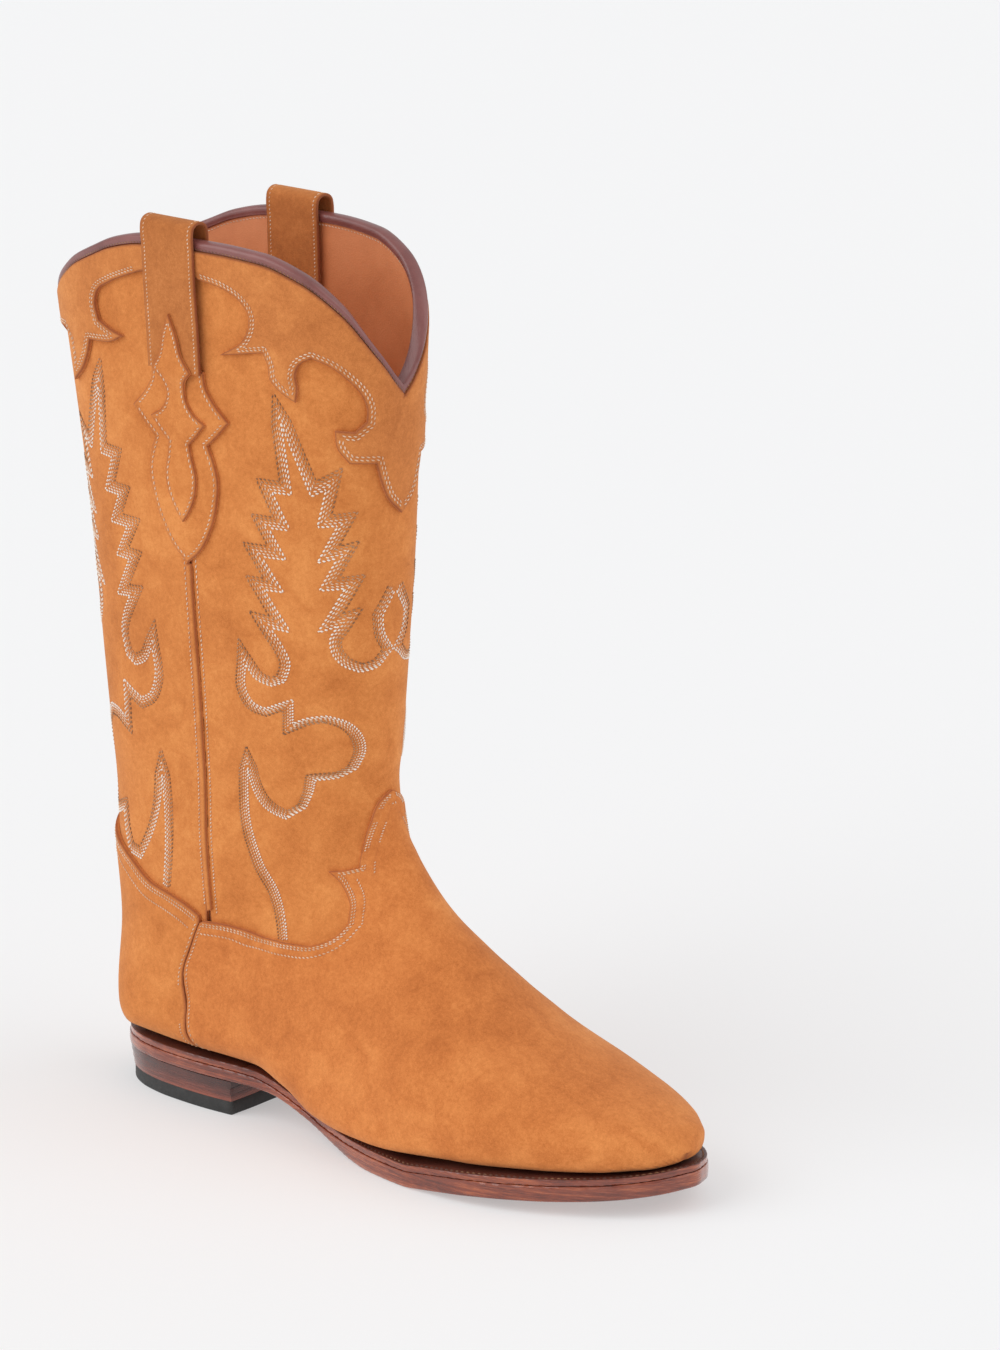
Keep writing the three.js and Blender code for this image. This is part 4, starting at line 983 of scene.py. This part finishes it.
def window_band(outer, inner, cut, sign):
    """Closed strip between two loops, on the side of the plane x = cut that sign tells."""
    runs = []
    for loop in (outer, inner):
        good = (loop[:, 0] - cut) * sign > 0.3
        start = int(np.flatnonzero(good & ~np.roll(good, 1))[0])
        loop, good = (np.roll(loop, -start, axis=0), np.roll(good, -start))
        count = int(good.sum())
        ends = []
        for p, q in ((loop[-1], loop[0]), (loop[count % len(loop)], loop[count - 1])):
            share = (cut - p[0]) / (q[0] - p[0])
            ends.append(p + (q - p) * share)
        runs.append(np.vstack([ends[0], loop[:count], ends[1]]))
    return np.vstack([runs[0], runs[1][::-1]])


def split_runs(points, good):
    """Stretches of at least four good points in a row."""
    runs, run = ([], [])
    for point, fine in zip(points, good):
        if fine:
            run.append(point)
            continue
        if len(run) > 3:
            runs.append(np.array(run))
        run = []
    if len(run) > 3:
        runs.append(np.array(run))
    return runs


# ---------------------------------------------------------------- flame stitching
def flame_rows():
    """The rows of the flame on one half, inner row first, in flat coordinates."""
    inner = smooth_line(FLAME, 0.7, corner=42)
    corners = thinned(inner)
    border = Near(resample(inner, 0.3))
    rows = [[corners]]
    for k in range(1, FLAME_ROWS):
        line = resample(offset_line(corners, k * ROW_STEP), 0.4)
        good = (border.distance(line) > k * ROW_STEP * 0.9) & (line[:, 0] > 0.1)
        rows.append(split_runs(line, good))
    return rows


def thinned(line):
    """Line without the points that lie closer than 0.35 mm to the one before."""
    keep = [line[0]]
    for point in line[1:]:
        if np.linalg.norm(point - keep[-1]) > 0.35:
            keep.append(point)
    return np.array(keep)


FLAMES = flame_rows()
FLAME_TONES = (1.0, 0.80, 0.64, 0.40, 0.22)
FLAME_WIDTHS = (0.90, 0.76, 0.72, 0.68, 0.64)


def flame_on(mirror, stop):
    """Rows turned to one half of a panel, cut where they run under the piece below."""
    rows = []
    for k, runs in enumerate(FLAMES):
        for line in runs:
            good = line[:, 1] < stop(np.abs(line[:, 0]))
            rows += [(k, run * [mirror, 1]) for run in split_runs(line, good)]
    return rows


def stop_at(edge, margin=0.6):
    """Station of an edge as a function of the distance from the centre line."""
    line = np.array(soft(edge))
    line = line[np.argsort(line[:, 0])]
    return lambda a: np.interp(a, line[:, 0], line[:, 1]) - margin


PANELS = {
    "front": {"centre": HALVES["front"], "foot": SHAFT_FRONT_FOOT, "stop": stop_at(VAMP_EDGE[8:])},
    "back": {"centre": HALVES["back"], "foot": SHAFT_BACK_FOOT, "stop": stop_at(COUNTER_EDGE)},
}


def seam_row(side, distance):
    """Stitch row beside the side seam, in the coordinates of the panel's own centre line."""
    t = np.arange(100.0, 300.0, 2.0)
    return np.stack([side * (girth(t) / 4 - distance), t], axis=1)


# ---------------------------------------------------------------- upper
def make_shaft():
    for name, panel in PANELS.items():
        centre = panel["centre"]
        halves = [flame_on(1, panel["stop"]), flame_on(-1, panel["stop"])]
        stop = panel["stop"](np.array([float(girth(280)) / 4]))[0]
        seams = [seam_row(side, SHAFT_ROW) for side in (1, -1)]
        seams = [row[row[:, 1] < stop - SHAFT_ROW] for row in seams]
        lines = [line for half in halves for _, line in half] + seams
        grooves = np.vstack([resample(line, 0.5) for line in lines])
        sheet(f"shaft_{name}", centre, panel_outline(centre, panel["foot"]), (-LEATHER, 0.0),
              SUEDE, "suede_tan", grooves=grooves, groove_depth=0.24)
        place = placer(centre, 0.0)
        rows = []
        for half in halves:
            for k, line in half:
                rows.append((line, place, FLAME_PITCH, FLAME_WIDTHS[k], FLAME_TONES[k]))
        stitching(f"flame_stitching_{name}", rows)
        rows = [(row, place, EDGE_PITCH, EDGE_WIDTH, 0.66) for row in seams]
        stitching(f"seam_stitching_{name}", rows)


def edge_stitches(centre, edge, offset, distances, tone=0.5, lift=None, limit=None):
    """Rows beside an open edge, on the side of its own piece, with the dents that they press."""
    half = np.array(soft(edge))
    border = Near(resample(half, 0.25))
    rows, lines = ([], [])
    place = placer(centre, offset, lift)
    for distance in distances:
        moved = offset_line(half, distance, limit=2.2)
        good = border.distance(moved) > abs(distance) * 0.93
        good &= moved[:, 0] > -0.2
        if limit is not None:
            good &= limit(moved)
        for run in split_runs(moved, good):
            for mirror in (1, -1):
                line = run * [mirror, 1]
                lines.append(line)
                rows.append((line, place, EDGE_PITCH, EDGE_WIDTH, tone))
    return rows, np.vstack([resample(line, 0.5) for line in lines])


def make_collars():
    for name, edge in (("front", COLLAR_FRONT_EDGE), ("back", COLLAR_BACK_EDGE)):
        centre = HALVES[name]
        rows, grooves = edge_stitches(centre, edge, OVER_COLLAR, EDGE_ROWS, 0.62)
        sheet(f"collar_{name}", centre, collar_outline(centre, edge), OVER_SHAFT, SUEDE_COLLAR,
              "suede_brown", grooves=grooves)
        stitching(f"collar_stitching_{name}", rows, "suede_brown")


def make_foot():
    """Vamp and counter, each with rows beside its top edge and one beside the side seam."""
    under_vamp = [(a - GAP, t - GAP) for a, t in SIDE_SEAM]
    pieces = (
        ("vamp", 0.5, vamp_outline(), SUEDE_FOOT, VAMP_EDGE, station_path(SIDE_SEAM, to_front=True)),
        ("counter", 0.0, counter_outline(), SUEDE, COUNTER_EDGE, under_vamp),
    )
    for name, centre, outline, material, edge, seam in pieces:
        rows, grooves = edge_stitches(centre, edge, OVER_COLLAR, FOOT_ROWS, 0.6)
        seam_rows, seam_grooves = edge_stitches(centre, seam, OVER_COLLAR, (SEAM_ROW,), 0.55)
        sheet(name, centre, outline, OVER_SHAFT, material, "suede_tan",
              grooves=np.vstack([grooves, seam_grooves]))
        stitching(f"{name}_stitching", rows + seam_rows)


def make_linings():
    for name, centre in HALVES.items():
        foot = [(a, LINING_FOOT) for a in (0.0, 42.0, float(girth(LINING_FOOT)) / 4 - GAP)]
        sheet(f"shaft_lining_{name}", centre, panel_outline(centre, foot), LINING_LAYER, LINING,
              "lining_leather", inward=True, pitch=2.6, rim=0.4, back_pitch=8.0)


BINDING_SECTION = [
    (2.65, 0.16), (2.7, 0.6), (2.35, 1.0), (1.7, 1.02), (1.2, 1.22), (0.3, 1.3), (-0.6, 1.1),
    (-1.2, 0.5), (-1.5, -0.5), (-1.6, -1.55), (-1.5, -2.6), (-1.2, -3.6), (-0.6, -4.15), (0.3, -4.3),
    (1.2, -4.25), (1.7, -4.1), (2.35, -4.1), (2.7, -3.75), (2.65, -3.2), (1.2, -3.12), (0.2, -3.1),
    (-0.35, -2.6), (-0.45, -1.55), (-0.35, -0.4), (0.2, 0.1), (1.2, 0.14),
]
BINDING_EDGE = 2.75  # how far the binding comes down the outside


def sweep(name, sections, material, values=None):
    """Solid through closed sections of equal length, closed at both ends."""
    n = len(sections[0])
    points = np.vstack(sections)
    faces = []
    for r in range(len(sections) - 1):
        for k in range(n):
            j = (k + 1) % n
            faces.append((r * n + k, r * n + j, (r + 1) * n + j, (r + 1) * n + k))
    faces.append(tuple(range(n)))
    faces.append(tuple(range((len(sections) - 1) * n, len(sections) * n)))
    obj = make_object(name, points, faces, values, [material])
    fix_normals(obj)
    return obj


def binding_placer(centre, level, turn):
    """Function that lays rows of the top line on the outside (turn 1) or the inside (-1)."""
    def place(flat):
        levels = np.full(len(flat), level)
        point, normal = surface(centre + flat[:, 0] / TOP_GIRTH, flat[:, 1], levels)
        return point, normal * turn

    return place


def make_bindings():
    section = np.array(BINDING_SECTION)
    for name, centre in HALVES.items():
        shares = centre + np.linspace(-0.2495, 0.2495, 301)
        sections = []
        for share in shares:
            t = float(top_station(share))
            sections.append(surface(np.full(len(section), share), t + section[:, 0], section[:, 1])[0])
        obj = sweep(f"top_binding_{name}", sections, BINDING)
        finish_piece(obj, "binding_leather", f"top_binding_{name}")
        line = np.stack([(shares - centre) * TOP_GIRTH, top_station(shares) + BINDING_ROW], axis=1)
        rows = [
            (line, binding_placer(centre, 1.02, 1), 1.6, 0.46, 0.14),
            (line + [0.0, BINDING_INNER_ROW], binding_placer(centre, -3.14, -1), 1.7, 0.5, 0.66),
        ]
        stitching(f"binding_stitching_{name}", rows, "binding_leather")


def strap_path():
    """Centre of the strap as [station, offset]: up the outside, over the top, down the inside."""
    inner = LINING_LAYER[0] - BINDING_BACK - GAP - STRAP_THICK / 2
    outer = GAP + OVER_COLLAR - 0.1 + STRAP_THICK / 2
    crown = float(top_station(0.25)) - 0.4 - 0.9 - STRAP_RISE
    middle, reach = ((inner + outer) / 2, (outer - inner) / 2)
    shoulder = crown + reach * 0.75
    path = [(51.5, outer), (36, outer), (22, outer + 0.2), (8, outer + 0.25), (-1, outer + 0.1)]
    for k in range(9):
        angle = math.pi * k / 8
        rise = (reach * 0.75 + STRAP_THICK / 2) * math.sin(angle)
        path.append((shoulder - rise, middle + reach * math.cos(angle)))
    path += [(-1, inner), (8, inner), (22, inner), (36, inner), (46, inner)]
    line = smooth_line(path, 0.5, corner=80)
    return resample(line, STRAP_STEP)


def strap_section():
    """Rounded flat section: across, outwards."""
    half, thick, bulge = (STRAP_HALF, STRAP_THICK / 2, 0.45)
    across = np.linspace(-half + bulge, half - bulge, 25)
    top = [(a, thick - 0.16 * math.exp(-(((abs(a) - half + STRAP_ROW) / 0.5) ** 2))) for a in across]
    right = [(half - bulge * (1 - math.cos(x)), thick * math.sin(x)) for x in (0.9, 0.35, -0.35, -0.9)]
    low = [(a, -thick) for a in across[::-1]]
    left = [(-a, -d) for a, d in right]
    return np.array(top + right + low + left)


def strap_placer(path, out, centre):
    """Function that lays points (across, mm along the path) on the outer face of the strap."""
    def place(flat):
        k = np.clip(flat[:, 1] / STRAP_STEP, 0, len(path) - 1)
        at = [np.interp(k, np.arange(len(path)), path[:, j]) for j in range(2)]
        lean = [np.interp(k, np.arange(len(path)), out[:, j]) for j in range(2)]
        rise = STRAP_THICK / 2 - 0.1
        share = centre + flat[:, 0] / girth(np.maximum(at[0], 0))
        low = surface(share, at[0] + lean[0] * rise, at[1] + lean[1] * rise)[0]
        rise += 0.5
        high = surface(share, at[0] + lean[0] * rise, at[1] + lean[1] * rise)[0]
        n = high - low
        return low, n / np.linalg.norm(n, axis=1)[:, None]

    return place


def make_straps():
    path = strap_path()
    section = strap_section()
    step = np.gradient(path, axis=0)
    step /= np.linalg.norm(step, axis=1)[:, None]
    out = np.stack([-step[:, 1], step[:, 0]], axis=1)
    if out[0, 1] < 0:
        out = -out
    half_edge = STRAP_HALF - STRAP_ROW
    edge = np.exp(-(((STRAP_HALF - np.abs(section[:, 0])) / 0.45) ** 2))
    # Mask along the stitch groove of the strap, where the suede material paints shade.
    seam = np.exp(-(((np.abs(section[:, 0]) - half_edge) / 0.45) ** 2))
    for side, centre in SIDES.items():
        sections = []
        for (t, d), (nt, nd) in zip(path, out):
            share = centre + section[:, 0] / float(girth(max(t, 0.0)))
            sections.append(surface(share, t + nt * section[:, 1], d + nd * section[:, 1])[0])
        values = {"edge": np.tile(edge, len(path)), "seam": np.tile(seam, len(path))}
        obj = sweep(f"pull_strap_{side}", sections, SUEDE_DARK, values=values)
        finish_piece(obj, "suede_brown", f"pull_strap_{side}")
        rows = []
        for across in (half_edge, -half_edge):
            line = np.stack([np.full(len(path), across), np.arange(len(path)) * STRAP_STEP], axis=1)
            place = strap_placer(path, out, centre)
            rows.append((line, place, 1.7, 0.58, 0.66))
        stitching(f"strap_stitching_{side}", rows, "suede_brown")


def smoothstep(t, low, high):
    x = np.clip((t - low) / (high - low), 0, 1)
    return x * x * (3 - 2 * x)


def spear_lift(t):
    return OVER_COLLAR * (1 - smoothstep(t, 51, 61))


def make_side_trim():
    for side, centre in SIDES.items():
        rows, grooves = edge_stitches(centre, TAIL_OUTLINE, TAIL_LAYER[1], (-1.5, 1.5), 0.6,
                                      limit=lambda p: inside(p, [np.array(tail_outline())]))
        sheet(f"strap_tail_{side}", centre, tail_outline(), TAIL_LAYER, SUEDE, "suede_tan",
              pitch=1.2, grooves=grooves)
        stitching(f"tail_stitching_{side}", rows)
        loop = np.array(spear_outline())
        rows, grooves = edge_stitches(centre, SPEAR_OUTLINE, SPEAR_LAYER[1], (-1.2, 1.2), 0.62,
                                      lift=spear_lift, limit=lambda p: inside(p, [loop]))
        sheet(f"strap_spear_{side}", centre, loop, SPEAR_LAYER, SUEDE, "suede_brown",
              lift=spear_lift, pitch=1.0, rim=0.6, grooves=grooves)
        stitching(f"spear_stitching_{side}", rows, "suede_brown")
        bead = [(-BEAD_HALF, BEAD_TOP), (BEAD_HALF, BEAD_TOP)]
        bead += [(-across, BEAD_FOOT) for across, _ in bead]
        bead = np.vstack([resample(np.array([p, q]), 1.2)[:-1] for p, q in zip(bead, bead[1:] + bead[:1])])
        sheet(f"side_bead_{side}", centre, bead, BEAD_LAYER, SUEDE, "suede_brown",
              pitch=0.6, rim=1.1, back_pitch=1.2)


# ---------------------------------------------------------------- bottom
SEAT_Z = profile(SEAT)
UNDER_Z = profile(UNDERSIDE)


def plan_slab(name, loop, high, low, material, slot, **options):
    """Layer of the bottom between two height profiles along the boot."""
    def face(flat, drop):
        return np.stack([flat[:, 0], flat[:, 1], high(flat[:, 0]) - drop], axis=1)

    def back(flat, drop):
        return np.stack([flat[:, 0], flat[:, 1], low(flat[:, 0]) + drop], axis=1)

    obj = slab(name, [loop], face, back, material, **options)
    return finish_piece(obj, slot, name)


def level(rise):
    return lambda x: SEAT_Z(x) + rise


def flat_level(z):
    return lambda x: np.full(len(x), float(z))


def make_bottom():
    outer, inner = (plan_loop(0.35), plan_loop(MARGIN_INSET, 2.5))
    stitch_line = plan_loop(1.75)
    front = stitch_line[stitch_line[:, 0] > 88]
    start = int(np.argmax(np.linalg.norm(np.roll(front, 1, axis=0) - front, axis=1)))
    front = np.roll(front, -start, axis=0)
    grooves = resample(front, 0.5)
    options = {"pitch": 2.2, "rim": 0.55, "back_rim": 0.35, "back_pitch": 4.0, "wall_material": EDGE}
    walls = [(0.3, 0.05), (0.7, 0.05)]
    plan_slab("welt", window_band(outer, inner, 76.0, 1), level(-GAP), level(-GAP - WELT),
              WELT_TOP, "sole_leather", grooves=grooves, groove_depth=0.25, walls=walls, **options)
    plan_slab("heel_rand", window_band(outer, inner, 75.9, -1), level(-GAP),
              level(-GAP - WELT), WELT_TOP, "sole_leather", walls=walls, **options)
    options["rim"], options["back_rim"] = (0.4, 0.9)
    plan_slab("outsole", plan_loop(0.0), level(-GAP - WELT - 0.1), UNDER_Z, EDGE, "sole_leather",
              walls=[(0.2, 0.1), (0.5, 0.16), (0.8, 0.1)], **options)

    def place(flat):
        z = SEAT_Z(flat[:, 0]) - GAP - 0.12
        points = np.stack([flat[:, 0], flat[:, 1], z], axis=1)
        return points, np.tile([0.0, 0.0, 1.0], (len(flat), 1))

    stitching("welt_stitching", [(front, place, 2.4, 0.8, 0.04)], "sole_leather")


def make_heel():
    options = {"pitch": 3.5, "rim": 0.18, "back_rim": 0.18, "back_pitch": 4.0}
    for k in range(LIFT_COUNT):
        low = RUBBER + GAP + k * (LIFT + GAP) - (0.2 if k else 0.15)
        high = HEEL_TOP - 0.05 if k == LIFT_COUNT - 1 else RUBBER + GAP + k * (LIFT + GAP) + LIFT
        name = f"heel_lift_{LIFT_COUNT - k}"
        plan_slab(name, heel_outline(0.35 + 0.34 * (LIFT_COUNT - 1 - k)), flat_level(high), flat_level(low),
                  HEEL_STACK, "sole_leather", walls=[(0.33, 0.05), (0.66, 0.05)], **options)
    options["back_rim"] = 0.5
    plan_slab("heel_top_lift", heel_outline(0.35 + 0.34 * LIFT_COUNT), flat_level(RUBBER + 0.1),
              flat_level(0.0), RUBBER_BLACK, "rubber", **options)


def paint_frame():
    """Pieces of the frame that stay as they are get their materials."""
    looks = {
        "vamp_lining": LINING, "heel_lining": LINING, "sock_liner": LINING, "insole": INSOLE,
        "toe_box": BOARD, "vamp_interlining": BOARD, "heel_stiffener": BOARD, "cork_filler": CORK,
        "shank": STEEL,
    }
    looks.update({f"heel_nail_{k}": STEEL for k in range(1, 8)})
    for name, material in looks.items():
        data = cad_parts[name].data
        data.materials.clear()
        data.materials.append(material)


# ---------------------------------------------------------------- floor, light, camera
AZIMUTH, ELEVATION = (math.radians(41.0286), math.radians(15.5003))
CAMERA_DISTANCE = 2749.7
LENS = 196.23
AIM = np.array([110.0, 0.0, 165.0])  # a point inside the boot
AIM_SHIFT = (53.54, 10.01)  # mm from there to the middle of the view: to the right, up


def view_axes():
    sa, ca = (math.sin(AZIMUTH), math.cos(AZIMUTH))
    se, ce = (math.sin(ELEVATION), math.cos(ELEVATION))
    back = np.array([sa * ce, -ca * ce, se])
    right = np.array([ca, sa, 0.0])
    return right, np.cross(back, right), back


def make_camera():
    right, up, back = view_axes()
    aim = AIM + right * AIM_SHIFT[0] + up * AIM_SHIFT[1]
    place = to_row(aim + back * CAMERA_DISTANCE)
    data = bpy.data.cameras.new("camera")
    data.sensor_width = 36.0
    data.lens = LENS
    data.clip_end = 20.0
    camera = bpy.data.objects.new("camera", data)
    bpy.context.scene.collection.objects.link(camera)
    turn = Matrix([right, up, back]).transposed().to_4x4()
    camera.matrix_world = Matrix.Translation(Vector(place)) @ turn
    bpy.context.scene.camera = camera


def sun(name, direction, spread, strength):
    """Wide soft light that comes from a direction."""
    data = bpy.data.lights.new(name, "SUN")
    data.energy = strength
    data.angle = math.radians(spread)
    light = bpy.data.objects.new(name, data)
    bpy.context.scene.collection.objects.link(light)
    light.rotation_euler = Vector(direction).to_track_quat("Z", "Y").to_euler()
    light.location = Vector(direction) * 2


def make_stage():
    right, _, back = view_axes()
    front = np.array([back[0], back[1], 0.0])
    front /= np.linalg.norm(front)
    up = np.array([0.0, 0.0, 1.0])
    floor = bpy.data.meshes.new("floor")
    half = 8.0
    corners = [(-half, -half, 0), (half, -half, 0), (half, half, 0), (-half, half, 0)]
    floor.from_pydata(corners, [], [(0, 1, 2, 3)])
    material, tree, bsdf = new_material("floor")
    tints = [(0.0, (0.548, 0.548, 0.550)), (1.0, (0.554, 0.554, 0.554))]
    tint = ramp(tree, noise(tree, 1.5, 2, 0.5), tints)
    tree.links.new(tint, bsdf.inputs["Base Color"])
    bsdf.inputs["Emission Color"].default_value = (1.0, 1.0, 1.0, 1)
    bsdf.inputs["Emission Strength"].default_value = 0.395
    bsdf.inputs["Roughness"].default_value = 0.9
    bsdf.inputs["Specular IOR Level"].default_value = 0.1
    floor.materials.append(material)
    obj = bpy.data.objects.new("floor", floor)
    bpy.context.scene.collection.objects.link(obj)
    sun("key", up * 0.75 - right * 1.00 + front * 0.40, 60, 1.25)
    sun("fill", up * 0.70 + right * 1.05 + front * 0.30, 70, 0.85)
    world = bpy.data.worlds.new("world")
    world.use_nodes = True
    world.node_tree.nodes["Background"].inputs["Color"].default_value = (0.97, 0.98, 1.0, 1)
    world.node_tree.nodes["Background"].inputs["Strength"].default_value = 0.58
    bpy.context.scene.world = world
    bpy.context.scene.view_settings.view_transform = "Standard"


make_shaft()
make_collars()
make_foot()
make_linings()
make_bindings()
make_straps()
make_side_trim()
make_bottom()
make_heel()
paint_frame()
make_camera()
make_stage()
